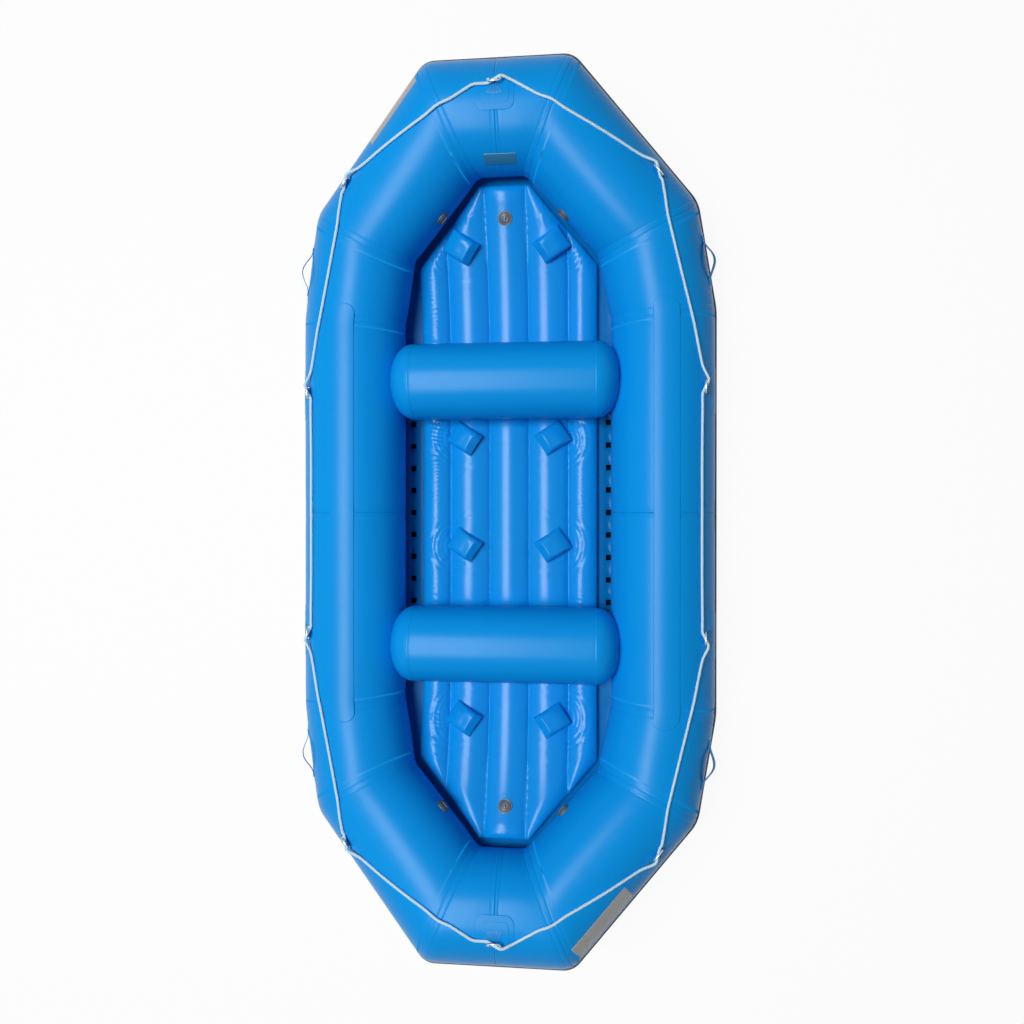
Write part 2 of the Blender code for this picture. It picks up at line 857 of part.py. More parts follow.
after_side_share = (side_ring_y + line_lead) / bend_side_y
quarter_line = [line_on_tube(SIDE, 0.0, line_columns["side"])]
quarter_line.append(line_on_tube(SIDE, side_ring_y / 2, line_columns["side"]))
quarter_line += through_ring("side_bow_port")
quarter_line += line_run(
    SIDE,
    after_side_share,
    1.0,
    line_steps["side"],
    line_columns["side"],
    line_columns["first bend"],
)
quarter_line.append(line_at_bend(SIDE, line_columns["first bend"]))
quarter_line += line_run(
    SHOULDER,
    0.0,
    1.0,
    line_steps["shoulder"],
    line_columns["first bend"],
    line_columns["second bend"],
)
quarter_line.append(line_at_bend(SHOULDER, line_columns["second bend"]))
before_ring = quarter_ring_from_bend - ring_half_width - line_under_out / 2
quarter_line += line_run(
    DIAGONAL,
    0.0,
    before_ring / run_length(DIAGONAL),
    line_steps["diagonal foot"],
    line_columns["second bend"],
    line_columns["quarter"],
)
quarter_line += through_ring("quarter_bow_port")[1:]
after_ring_share = (quarter_ring_from_bend + line_lead) / run_length(DIAGONAL)
quarter_line += line_run(
    DIAGONAL,
    after_ring_share,
    1.0,
    line_steps["diagonal"],
    line_columns["quarter"],
    line_columns["last bend"],
)
quarter_line.append(line_at_bend(DIAGONAL, line_columns["last bend"]))
quarter_line += line_run(
    END,
    0.0,
    1.0 - line_lead / run_length(END),
    line_steps["end"],
    line_columns["last bend"],
    line_columns["end"],
)


def swap(points, across, along):
    return [mirrored(p, across, along) for p in points]


bow_points = through_ring("bow")
loop_points = quarter_line + bow_points
loop_points += swap(quarter_line[::-1], -1, 1)[:-1]
loop_points += swap(quarter_line, -1, -1)
loop_points += swap(bow_points[::-1], 1, -1)
loop_points += swap(quarter_line[::-1], 1, -1)[:-1]
bent_wire("perimeter_line", loop_points, line_radius, "line", wire_sides)


# Valves: a flanged body seated on the skin, and a cap with a grip that turns in it.
def valve(name, centre, normal, heading, seat_cutters):
    side = heading.cross(normal).normalized()
    ahead = normal.cross(side).normalized()
    frame = Matrix.Translation(centre) @ Matrix((side, ahead, normal)).transposed().to_4x4()
    body_profile = [
        (0.0, valve_floor),
        (valve_bore, valve_floor),
        (valve_bore, valve_rim),
        (valve_rim_radius - valve_corner, valve_rim),
        (valve_rim_radius, valve_flange_thick),
        (valve_radius - valve_corner, valve_flange_thick),
        (valve_radius, valve_flange_thick - valve_corner),
        (valve_radius, -valve_root),
        (0.0, -valve_root),
    ]
    body = lathe("valve_" + name, body_profile, "valve_plastic", frame, valve_steps)
    boolean(body, seat_cutters, "DIFFERENCE")
    cap_low = valve_floor + gap
    cap_profile = [
        (0.0, cap_top),
        (cap_radius - valve_corner, cap_top),
        (cap_radius, cap_top - valve_corner),
        (cap_radius, cap_low),
        (0.0, cap_low),
    ]
    cap = lathe("valve_cap_" + name, cap_profile, "valve_plastic", frame, valve_steps)
    grip_low = cap_top - valve_corner
    size = Matrix.Diagonal((2 * grip_half, 2 * (cap_radius - grip_end_gap), grip_high + valve_corner, 1))
    shape = bmesh.new()
    bmesh.ops.create_cube(shape, size=1, matrix=size)
    data = bpy.data.meshes.new("cut_grip_" + name)
    shape.to_mesh(data)
    shape.free()
    grip = place(bpy.data.objects.new(data.name, data), None)
    grip.matrix_world = frame @ Matrix.Translation((0, 0, (grip_low + cap_top + grip_high) / 2))
    boolean(cap, [grip], "UNION")
    print("valve", name, [round(v, 5) for v in (*centre, *normal)])


valve_columns = round(math.radians(valve_angle) / column)
valve_off = normal_at(DIAGONAL, valve_columns * column)
valve_seat = on_tube(DIAGONAL, valve_from_bend, valve_columns * column, 0)
for place_name, (across, along) in QUARTERS.items():
    valve(
        place_name,
        mirrored(valve_seat, across, along),
        mirrored(valve_off, across, along),
        mirrored(runs[DIAGONAL], across, along),
        [tube_cutters[place_name]],
    )

for end_name, side in (("floor_bow", 1), ("floor_stern", -1)):
    ahead = Vector((0, 1, rocker_slope(side * floor_valve_y))).normalized()
    valve(
        end_name,
        Vector((0, side * floor_valve_y, rocker(floor_valve_y) + floor_top)),
        Vector((1, 0, 0)).cross(ahead),
        ahead,
        [mattress_room],
    )

for ring_name, (part, s, columns, patch, across, along) in RINGS.items():
    centre, bar = ring_frame(part, s, columns, across, along)[:2]
    print("ring", ring_name, [round(v, 5) for v in (*centre, *bar)])
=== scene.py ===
"""Whitewater raft: builds the coated fabric, webbing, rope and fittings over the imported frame.

Everything is in metres. +Y is the bow, +X is starboard, +Z is up, and the raft rests on z = 0.
"""

import json
import math

import bmesh
import bpy
import numpy as np
from mathutils import Matrix, Vector

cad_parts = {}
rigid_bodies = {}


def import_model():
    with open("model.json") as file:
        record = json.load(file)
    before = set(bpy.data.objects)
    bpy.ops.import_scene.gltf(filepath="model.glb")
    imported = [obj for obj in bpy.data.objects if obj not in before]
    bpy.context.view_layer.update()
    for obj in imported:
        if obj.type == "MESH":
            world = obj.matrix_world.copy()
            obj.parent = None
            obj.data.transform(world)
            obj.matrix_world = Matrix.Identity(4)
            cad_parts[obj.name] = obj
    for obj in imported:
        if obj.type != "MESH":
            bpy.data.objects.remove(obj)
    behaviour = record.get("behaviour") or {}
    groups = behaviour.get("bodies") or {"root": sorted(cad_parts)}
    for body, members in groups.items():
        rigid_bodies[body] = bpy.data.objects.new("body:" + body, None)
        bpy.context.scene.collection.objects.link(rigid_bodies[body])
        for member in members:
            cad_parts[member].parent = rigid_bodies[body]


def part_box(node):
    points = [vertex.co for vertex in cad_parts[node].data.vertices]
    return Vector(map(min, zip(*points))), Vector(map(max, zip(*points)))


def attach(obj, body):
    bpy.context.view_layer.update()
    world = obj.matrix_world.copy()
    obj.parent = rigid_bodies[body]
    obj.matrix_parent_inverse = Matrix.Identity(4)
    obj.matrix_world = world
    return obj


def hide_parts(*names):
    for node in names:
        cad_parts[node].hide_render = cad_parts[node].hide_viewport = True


bl_info = {
    "name": "Whitewater Raft",
    "version": (1, 0, 0),
    "blender": (4, 5, 0),
    "location": "View3D > Sidebar > Raft",
    "description": "Fabric, webbing, rope and fittings of an inflatable whitewater raft",
    "category": "Add Mesh",
}

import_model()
HULL = "hull"

# Each quarter of the hull is the port bow quarter with these signs on its x and y.
QUARTERS = {
    "bow_port": (1, 1),
    "bow_starboard": (-1, 1),
    "stern_port": (1, -1),
    "stern_starboard": (-1, -1),
}

# The straight runs of the tube from the middle of the port side to the middle of the bow.
SIDE, SHOULDER, DIAGONAL, END = range(4)


# Shader values


class Value:
    """A shader socket that arithmetic can be done on. Each operation adds its node."""

    def __init__(self, nodes, socket):
        self.nodes = nodes
        self.socket = socket

    def maths(self, operation, first, second):
        return self.nodes.node("ShaderNodeMath", {"operation": operation}, {0: first, 1: second})

    def __add__(self, other):
        return self.maths("ADD", self, other)

    def __radd__(self, other):
        return self.maths("ADD", other, self)

    def __sub__(self, other):
        return self.maths("SUBTRACT", self, other)

    def __rsub__(self, other):
        return self.maths("SUBTRACT", other, self)

    def __mul__(self, other):
        return self.maths("MULTIPLY", self, other)

    def __rmul__(self, other):
        return self.maths("MULTIPLY", other, self)

    def __abs__(self):
        return self.maths("ABSOLUTE", self, 0.0)

    def larger(self, other):
        return self.maths("MAXIMUM", self, other)


class NodeSet:
    """A node tree, and short ways to add nodes to it."""

    def __init__(self, tree):
        self.tree = tree

    def node(self, kind, settings=None, values=None, output=0):
        """Adds a node: first its settings, then the values or links of its sockets."""
        made = self.tree.nodes.new(kind)
        for key, setting in (settings or {}).items():
            setattr(made, key, setting)
        for key, value in (values or {}).items():
            if isinstance(value, Value):
                self.tree.links.new(value.socket, made.inputs[key])
            else:
                made.inputs[key].default_value = value
        return Value(self, made.outputs[output])

    def place(self):
        """The raft's own coordinates, in metres."""
        return self.node("ShaderNodeTexCoord", output="Object")

    def cloth(self):
        """The lengths along and across a strap or rope, in metres, from its UV map."""
        return self.node("ShaderNodeTexCoord", output="UV")

    def noise(self, at, scale, detail=2.0, roughness=0.5):
        values = {"Vector": at, "Scale": scale, "Detail": detail, "Roughness": roughness}
        return self.node("ShaderNodeTexNoise", None, values, "Fac")

    def stretched(self, at, scale):
        return self.node("ShaderNodeMapping", None, {"Vector": at, "Scale": scale})

    def split(self, at):
        """The x, y and z of a vector."""
        first = self.node("ShaderNodeSeparateXYZ", None, {"Vector": at})
        return [Value(self, output) for output in first.socket.node.outputs]

    def ramp(self, value, low, high):
        """0 below low, 1 above high, and even between them."""
        values = {"Value": value, "From Min": low, "From Max": high}
        return self.node("ShaderNodeMapRange", {"clamp": True}, values)

    def wave(self, value, pitch):
        """A ridge each pitch metres, from 0 to 1."""
        turned = value * (2 * math.pi / pitch)
        return self.node("ShaderNodeMath", {"operation": "SINE"}, {0: turned}) * 0.5 + 0.5

    def mix(self, share, first, second):
        values = {0: share, 6: first, 7: second}
        return self.node("ShaderNodeMix", {"data_type": "RGBA"}, values, 2)

    def seen(self):
        """1 for a ray from the camera, off a mirror or through glass, and 0 for light on a surface."""
        path = self.node("ShaderNodeLightPath", output="Is Camera Ray")
        for ray in ("Is Glossy Ray", "Is Transmission Ray"):
            path = path.larger(self.node("ShaderNodeLightPath", output=ray))
        return path


class Recipe(NodeSet):
    """One material with its shader, and what drives it."""

    def __init__(self, name, colour, roughness, metallic=0.0, specular=0.5):
        self.material = bpy.data.materials.new(name)
        self.material.use_nodes = True
        super().__init__(self.material.node_tree)
        self.shader = self.tree.nodes["Principled BSDF"]
        self.colour = (*colour, 1.0)
        self.shader.inputs["Base Color"].default_value = self.colour
        self.shader.inputs["Roughness"].default_value = roughness
        self.shader.inputs["Metallic"].default_value = metallic
        self.shader.inputs["Specular IOR Level"].default_value = specular

    def paint(self, share, second):
        """Turns the base colour towards a second colour by a share that changes over the surface."""
        socket = self.shader.inputs["Base Color"]
        first = Value(self, socket.links[0].from_socket) if socket.is_linked else self.colour
        self.drive("Base Color", self.mix(share, first, (*second, 1.0)))

    def drive(self, name, value):
        self.tree.links.new(value.socket, self.shader.inputs[name])

    def relief(self, height, depth, strength):
        """A bump as deep as depth metres where height runs from 0 to 1, on top of any other."""
        values = {"Height": height, "Distance": depth, "Strength": strength}
        normal = self.shader.inputs["Normal"]
        if normal.is_linked:
            values["Normal"] = Value(self, normal.links[0].from_socket)
        self.drive("Normal", self.node("ShaderNodeBump", None, values))


# Tones that wear, dust and thread take, and the painted shade for the rope's hollows, beside the colours in
# the settings.
RUBBED_SKIN = (0.012, 0.34, 0.80)
RUBBED_WEBBING = (0.05, 0.38, 0.82)
STRAKE_DUST = (0.055, 0.053, 0.05)
STRIPE_GRIME = (0.42, 0.39, 0.37)
ROPE_HOLLOW_SHADE = (0.30, 0.48, 0.66)
ROPE_STAIN = (0.55, 0.68, 0.78)
DULL_STEEL = (0.25, 0.26, 0.28)
INFO_FILM = (0.03, 0.20, 0.36)
THREAD = (0.16, 0.50, 0.86)


def shade(colour, share):
    return tuple(channel * share for channel in colour)


def coated_skin(name, colour, roughness, mottle=0.16, specular=0.08):
    """Coated raft fabric: a soft sheen, faint cloudy tone, fine grain and a few rubbed places."""
    made = Recipe(name, colour, roughness, specular=specular)
    at = made.place()
    cloud = made.noise(at, scale=2.3, detail=3.0)
    grain = made.noise(at, scale=420.0, detail=1.0)
    patchy = made.noise(at, scale=26.0, detail=3.0, roughness=0.6)
    made.paint(made.ramp(cloud, 0.35, 0.75) * mottle, shade(colour, 0.78))
    made.paint(made.ramp(patchy, 0.58, 0.80) * 0.10, RUBBED_SKIN)
    made.drive("Roughness", roughness - 0.04 + patchy * 0.08)
    made.relief(patchy, depth=0.0006, strength=0.25)
    made.relief(grain, depth=0.00015, strength=0.35)
    return made.material


def woven_strap(name, colour):
    """Webbing: ribs across the strap and a plain weave, with painted shade in the weave's hollows and a few
    places rubbed lighter.
    """
    made = Recipe(name, colour, roughness=0.55, specular=0.25)
    along, across, _ = made.split(made.cloth())
    rib = made.wave(along, pitch=0.0032)
    thread = made.wave(across, pitch=0.0018)
    weave = rib * 0.6 + thread * 0.4
    worn = made.ramp(made.noise(made.place(), scale=90.0), 0.55, 0.8)
    made.paint(worn * 0.25, RUBBED_WEBBING)
    # Painted shade: the weave's hollows are darkened.
    made.paint((1.0 - weave) * 0.25, shade(colour, 0.55))
    made.relief(weave, depth=0.0004, strength=0.6)
    return made.material


def black_rubber(name, colour):
    made = Recipe(name, colour, roughness=0.48, specular=0.4)
    at = made.place()
    dust = made.ramp(made.noise(at, scale=7.0, detail=4.0, roughness=0.6), 0.45, 0.8)
    grain = made.noise(at, scale=300.0)
    made.paint(dust * 0.30, STRAKE_DUST)
    made.drive("Roughness", 0.42 + dust * 0.18)
    made.relief(grain, depth=0.0002, strength=0.4)
    return made.material


def pale_stripe(name, colour):
    made = Recipe(name, colour, roughness=0.5, specular=0.3)
    at = made.place()
    grime = made.ramp(made.noise(at, scale=14.0, detail=4.0, roughness=0.65), 0.5, 0.85)
    made.paint(grime * 0.35, STRIPE_GRIME)
    made.drive("Roughness", 0.45 + grime * 0.2)
    made.relief(made.noise(at, scale=260.0), depth=0.0002, strength=0.4)
    return made.material


def braided_rope(name, colour):
    """Plaited strands from the rope's own lengths: two sets of ridges that cross, with painted shade in the
    hollows between them.
    """
    made = Recipe(name, colour, roughness=0.7, specular=0.2)
    along, around, _ = made.split(made.cloth())
    slant, pitch = 0.55, 0.0105
    left = made.wave(along + around * slant, pitch)
    right = made.wave(along - around * slant, pitch)
    plait = left * right
    fibre = made.noise(made.place(), scale=700.0)
    # Painted shade: the hollows between the strands are darkened.
    made.paint((1.0 - made.ramp(plait, 0.02, 0.30)) * 0.34, ROPE_HOLLOW_SHADE)
    made.paint(made.ramp(made.noise(made.place(), scale=35.0), 0.5, 0.8) * 0.2, ROPE_STAIN)
    made.relief(plait, depth=0.0020, strength=0.9)
    made.relief(fibre, depth=0.0003, strength=0.4)
    return made.material


def polished_steel(name, colour):
    made = Recipe(name, colour, roughness=0.22, metallic=1.0)
    at = made.place()
    scratches = made.noise(made.stretched(at, (90.0, 900.0, 400.0)), scale=1.0, detail=3.0)
    made.drive("Roughness", 0.14 + scratches * 0.22)
    made.relief(scratches, depth=0.0001, strength=0.3)
    made.paint(made.ramp(made.noise(at, scale=120.0), 0.55, 0.8) * 0.3, DULL_STEEL)
    return made.material


def moulded_plastic(name, colour):
    made = Recipe(name, colour, roughness=0.42, specular=0.4)
    at = made.place()
    worn = made.ramp(made.noise(at, scale=60.0, detail=3.0), 0.5, 0.8)
    made.paint(worn * 0.3, shade(colour, 1.5))
    made.drive("Roughness", 0.36 + worn * 0.2)
    made.relief(made.noise(at, scale=500.0, detail=1.0), depth=0.0001, strength=0.4)
    return made.material


def plate_film(name, colour):
    """A bare film plate: smooth, with slightly lifted and scuffed places."""
    made = Recipe(name, colour, roughness=0.38, specular=0.4)
    at = made.place()
    rubbed = made.noise(made.stretched(at, (40.0, 160.0, 60.0)), scale=1.0, detail=4.0, roughness=0.6)
    scuff = made.ramp(rubbed, 0.55, 0.8)
    made.paint(scuff * 0.22, shade(colour, 0.7))
    made.drive("Roughness", 0.33 + scuff * 0.25)
    made.relief(made.noise(at, scale=45.0), depth=0.0005, strength=0.25)
    return made.material


FINISHES = {}


def finish_of(key):
    """The material of a finish, made once from the settings' colours."""
    if key not in FINISHES:
        raft = bpy.context.scene.raft
        makers = {
            "tube_skin": lambda: coated_skin("tube_skin", raft.skin_colour, roughness=0.31),
            "floor_skin": lambda: coated_skin(
                "floor_skin", raft.floor_colour, roughness=0.21, mottle=0.10, specular=0.115
            ),
            # The drain strip's skin is the floor's colour darkened to 0.6. This is painted shade, standing in
            # for the shadow that the tubes cast on the strip.
            "strip_skin_painted_shade": lambda: coated_skin("strip_skin_painted_shade", shade(raft.floor_colour, 0.6), roughness=0.31),
            "pad_skin": lambda: coated_skin("pad_skin", raft.pad_colour, roughness=0.31, mottle=0.2),
            "webbing": lambda: woven_strap("webbing", raft.webbing_colour),
            "strake": lambda: black_rubber("strake_rubber", raft.strake_colour),
            "stripe": lambda: pale_stripe("strake_stripe", raft.stripe_colour),
            "line": lambda: braided_rope("rope_braid", raft.rope_colour),
            "steel": lambda: polished_steel("ring_steel", raft.steel_colour),
            "valve": lambda: moulded_plastic("valve_plastic", raft.valve_colour),
            "plate": lambda: plate_film("plate_film", raft.plate_colour),
            "info": lambda: plate_film("info_film", INFO_FILM),
            "stitch": lambda: woven_strap("stitch_thread", THREAD),
        }
        FINISHES[key] = makers[key]()
    return FINISHES[key]


# Meshes


def new_piece(name, points, faces, finish, body=HULL, stands_for=(), lengths=None):
    """Makes a smooth mesh piece that rides on a body and may stand for CAD nodes."""
    data = bpy.data.meshes.new(name)
    data.from_pydata(np.asarray(points, float).reshape(-1, 3).tolist(), [], faces)
    if lengths is not None:
        layer = data.uv_layers.new(name="Cloth")
        corner_points = np.empty(len(data.loops), np.int32)
        data.loops.foreach_get("vertex_index", corner_points)
        layer.data.foreach_set("uv", np.asarray(lengths, np.float32).reshape(-1, 2)[corner_points].ravel())
    data.shade_smooth()
    data.materials.append(finish_of(finish))
    made = bpy.data.objects.new(name, data)
    bpy.context.scene.collection.objects.link(made)
    shape = bmesh.new()
    shape.from_mesh(data)
    bmesh.ops.recalc_face_normals(shape, faces=shape.faces)
    shape.to_mesh(data)
    shape.free()
    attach(made, body)
    if stands_for:
        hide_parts(*stands_for)
    return made


def grid_faces(rows, columns, round_rows=False, round_columns=False, capped=False, start=0):
    """Quads over a grid of points, row by row, which may close on itself either way."""
    faces = []
    for i in range(rows if round_rows else rows - 1):
        for j in range(columns if round_columns else columns - 1):
            a, b = start + i * columns, start + (i + 1) % rows * columns
            k = (j + 1) % columns
            faces.append((a + j, a + k, b + k, b + j))
    if capped:
        faces.append(tuple(range(start, start + columns)))
        last = start + (rows - 1) * columns
        faces.append(tuple(range(last, last + columns)))
    return faces


def mirrored(points, across, along):
    return np.asarray(points, float) * np.array([across, along, 1.0])


def moved(points, matrix):
    matrix = np.array(matrix)
    return points @ matrix[:3, :3].T + matrix[:3, 3]


def unit(vectors):
    vectors = np.asarray(vectors, float)
    return vectors / np.linalg.norm(vectors, axis=-1, keepdims=True)


def ease(share):
    """A smooth step from 0 to 1."""
    share = np.clip(share, 0.0, 1.0)
    return share * share * (3 - 2 * share)


def bell(distance, width):
    """1 at no distance, falling smoothly to nothing over a width or two."""
    return np.exp(-((distance / width) ** 2))


def thicken(piece, thickness, offset=0.0):
    """Gives a sheet a thickness: half on each side, or all inwards for an offset of -1."""
    wall = piece.modifiers.new("wall", "SOLIDIFY")
    wall.thickness = thickness
    wall.offset = offset


# The tube's shape. A column is one of the frame's facets round it, counted up from its widest line.

column = math.radians(5.625)
tube_radius = 0.227
side_axis_x = 0.697
bend_side_y = 0.87
bend_quarter = (-0.624, 1.233, 0.293)
bend_end_x, bend_end_z = 0.206, 0.459
strake_thick, strake_out = 0.0040, 0.0065
skin_proud = 0.0001
apothem = tube_radius * math.cos(column / 2)
skin_radius = apothem + skin_proud
end_axis_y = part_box("rub_strake")[1].y - tube_radius - strake_out

# The corners of the tube's axis round the port bow quarter.
corners = np.array(
    [
        (-side_axis_x, 0, apothem),
        (-side_axis_x, bend_side_y, apothem),
        bend_quarter,
        (-bend_end_x, end_axis_y, bend_end_z),
        (0, end_axis_y, bend_end_z),
    ]
)
spans = np.diff(corners, axis=0)
run_lengths = np.linalg.norm(spans, axis=1)
runs = unit(spans)
outs = [np.array([-1.0, 0.0, 0.0])]
for before, after in zip(runs, runs[1:]):
    turn = Vector(before).rotation_difference(Vector(after))
    outs.append(np.array(turn @ Vector(outs[-1])))
outs = np.array(outs)
ups = np.cross(runs, outs)


def normal_at(part, angle):
    """The way out of the skin at an angle round a run, up from its widest line."""
    angle = np.asarray(angle, float)[..., None]
    return outs[part] * np.cos(angle) + ups[part] * np.sin(angle)


def on_skin(part, along, angle, height):
    """A point over the tube's skin, by its length along one straight run and the angle round it."""
    along = np.asarray(along, float)[..., None]
    reach = skin_radius + np.asarray(height, float)[..., None]
    return corners[part] + runs[part] * along + normal_at(part, angle) * reach


def mitre_slide(part, angle, reach):
    """How far past the corner after a run its line at an angle meets the next run's."""
    plane = unit(runs[part] + runs[part + 1])
    return -(normal_at(part, angle) @ plane) * reach / (runs[part] @ plane)


def entry_slide(part, angle, reach):
    """How far past its first corner a run's line at an angle starts."""
    if part == SIDE:
        return np.zeros_like(np.asarray(angle, float))
    plane = unit(runs[part - 1] + runs[part])
    return -(normal_at(part, angle) @ plane) * reach / (runs[part] @ plane)


# Each bend is rounded over this length of tube on either side of its seam.
bend_cuts = {SIDE: 0.030, SHOULDER: 0.042, DIAGONAL: 0.042}


def bend_points(part, share, angle, height):
    """Points where the tube rounds the bend after a run; share goes from 0 to 1 along it."""
    reach = skin_radius
    slide = mitre_slide(part, angle, reach)[..., None]
    middle = corners[part + 1] + normal_at(part, angle) * reach + runs[part] * slide
    cut = bend_cuts[part]
    first = middle - runs[part] * cut
    last = middle + runs[part + 1] * cut
    share = np.asarray(share, float)[..., None]
    curve = first * (1 - share) ** 2 + middle * 2 * share * (1 - share) + last * share**2
    facing = unit(normal_at(part, angle) * (1 - share) + normal_at(part + 1, angle) * share)
    return curve + facing * np.asarray(height, float)[..., None]


def line_limits(part, angle):
    """Where a run's straight lines begin and end, past the rounding of its bends."""
    reach = skin_radius
    low = entry_slide(part, angle, reach) + (0.0 if part == SIDE else bend_cuts[part - 1])
    high = np.full_like(np.asarray(angle, float), run_lengths[part])
    if part != END:
        high = high + mitre_slide(part, angle, reach) - bend_cuts[part]
    return low, high


# Cross-sections stand close together at these distances from a seam, and this far apart elsewhere.
seam_steps = (0.0, 0.006, 0.0100, 0.0120, 0.0135, 0.0155, 0.020, 0.028)
bend_steps, bow_seam_steps = (*seam_steps, 0.036), (*seam_steps, 0.040)
side_seam_steps = (*bow_seam_steps, 0.060)
past_bend_steps, before_bend_steps = (0.004, 0.014, 0.030, 0.055), (0.0, 0.010, 0.026, 0.050)
station_pitch = 0.042
station_margin = 0.03

# A seam's tape is this wide to each side and ends in a groove.
tape_half, tape_fade, tape_thick = 0.0100, 0.0020, 0.0007
groove_at, groove_wide, groove_deep = 0.0135, 0.0016, 0.0011

# A seam draws the tube in to a waist. Inside a bend the skin is pinched too, and lies in pleats.
waist_deep, waist_long = 0.0018, 0.055
pinch_deep, pinch_long = 0.0035, 0.024
pleat_high, pleat_long, pleats_round = 0.0009, 0.05, 26
bend_squeeze = {SIDE: 0.4, SHOULDER: 1.0, DIAGONAL: 1.0}


def quarter_stations():
    """Every cross-section of a quarter: a place on a run's straight lines, or in a bend."""
    stations = []
    for part in (SIDE, SHOULDER, DIAGONAL, END):
        low, high = line_limits(part, np.array([math.pi / 2]))
        span = float(high[0] - low[0])
        first = side_seam_steps if part == SIDE else past_bend_steps
        last = bow_seam_steps if part == END else before_bend_steps
        middle_low, middle_high = first[-1] + station_margin, span - last[-1] - station_margin
        count = max(1, round((middle_high - middle_low) / station_pitch))
        middle = np.linspace(middle_low, middle_high, count + 1) if middle_high > middle_low else []
        places = [p / span for p in (*first, *middle)] + [1 - p / span for p in last]
        stations += [("line", part, p) for p in sorted(places)]
        if part != END:
            cut = bend_cuts[part]
            steps = [s for s in bend_steps if s < cut]
            offsets = [-s for s in steps[:0:-1]] + steps
            stations += [("bend", part, 0.5 + s / (2 * cut)) for s in [-cut, *offsets]]
    return stations


STATIONS = quarter_stations()


def seam_form(distance, angle, squeeze):
    """How a seam shapes the skin at a distance from it: a taped band between two fine grooves."""
    distance = np.abs(distance)
    tape = tape_thick * (1 - ease((distance - tape_half) / tape_fade))
    groove = -groove_deep * bell(distance - groove_at, groove_wide)
    waist = -waist_deep * bell(distance, waist_long)
    pinch = -pinch_deep * squeeze * bell(distance, pinch_long)
    wave = np.cos(angle * pleats_round + 3 * np.sin(angle * 5))
    pleat = pleat_high * squeeze * bell(distance, pleat_long) * wave
    return tape + groove + waist + pinch + pleat


def skin_relief(kind, part, share, angle):
    """The skin's own rise and fall at one cross-section."""
    if kind == "bend":
        distance = (share - 0.5) * 2 * bend_cuts[part]
        seams = [(part, distance)]
    else:
        low, high = line_limits(part, angle)
        span = high - low
        before = share * span + (0.0 if part == SIDE else bend_cuts[part - 1])
        after = (1 - share) * span + (0.0 if part == END else bend_cuts[part])
        seams = [(part - 1, before), (part, after)]
    total = 0.0
    for seam, distance in seams:
        squeeze = 0.0
        if seam in (SIDE, SHOULDER, DIAGONAL):
            inward = unit(runs[seam + 1] - runs[seam])
            squeeze = np.maximum(0.0, normal_at(seam, angle) @ inward) ** 1.5 * bend_squeeze[seam]
        total = total + seam_form(distance, angle, squeeze)
    return total


def quarter_rows(angle, height, relief=1.0):
    """Rows of points round one quarter, at these angles and heights, over a share of the skin's relief."""
    rows = []
    for kind, part, share in STATIONS:
        lift = height + relief * skin_relief(kind, part, share, angle)
        if kind == "bend":
            rows.append(bend_points(part, np.full_like(angle, share), angle, lift))
        else:
            low, high = line_limits(part, angle)
            rows.append(on_skin(part, low + (high - low) * share, angle, lift))
    return rows


def whole_loop(angle, height):
    """Rows of points all round the hull, once."""
    port_bow = quarter_rows(angle, height, 0.0)
    starboard_bow = [mirrored(row, -1, 1) for row in port_bow[::-1]]
    starboard_stern = [mirrored(row, -1, -1) for row in port_bow]
    port_stern = [mirrored(row, 1, -1) for row in port_bow[::-1]]
    return port_bow[:-1] + starboard_bow[:-1] + starboard_stern[:-1] + port_stern[:-1]


def along_side(q, angle, height):
    """Points over the side and round its first bend, by their length from the middle of the raft."""
    q, angle, height = np.broadcast_arrays(np.asarray(q, float), angle, height)
    flat = np.abs(q)
    cut = bend_cuts[SIDE]
    turn_at = run_lengths[SIDE] + mitre_slide(SIDE, angle, skin_radius)
    past = flat - turn_at
    on_side = on_skin(SIDE, np.minimum(flat, turn_at - cut), angle, height)
    in_bend = bend_points(SIDE, np.clip(0.5 + past / (2 * cut), 0, 1), angle, height)
    start = entry_slide(SHOULDER, angle, skin_radius)
    beyond = on_skin(SHOULDER, start + np.maximum(past, cut), angle, height)
    made = np.where((past < -cut)[..., None], on_side, np.where((past > cut)[..., None], beyond, in_bend))
    made[..., 1] *= np.where(q < 0, -1.0, 1.0)
    return made


# Patches on the skin


# A patch sinks this far at its rim, which is rounded over this width by points at these distances.
patch_sink, patch_rim = 0.0004, 0.0016
rim_distances = (0.0, 0.0006, 0.0016, 0.0035, 0.008)


def edge_steps(half, inner):
    """Steps from -1 to 1 that are close together at both rims of a patch."""
    rim = [1 - distance / half for distance in rim_distances if distance < half / 2]
    middle = np.linspace(-rim[-1], rim[-1], inner + 2)
    return np.array([-r for r in rim] + list(middle[1:-1]) + rim[::-1])


def patch_grid(half_long, half_wide, corner, thick, rows, columns):
    """A rounded rectangle as lengths (u, v) and its height over the skin."""
    v = edge_steps(half_wide, columns) * half_wide
    into = np.clip(np.abs(v) - (half_wide - corner), 0, corner)
    reach = half_long - corner + np.sqrt(np.maximum(corner**2 - into**2, 0))
    u = edge_steps(half_long, rows)[:, None] * reach[None, :]
    v = np.broadcast_to(v[None, :], u.shape)
    from_end = reach[None, :] - np.abs(u)
    from_side = half_wide - np.abs(v)
    rim = np.minimum(from_end, from_side)
    height = -patch_sink + (thick + patch_sink) * np.sqrt(np.clip(rim / patch_rim, 0, 1))
    return u, v, height


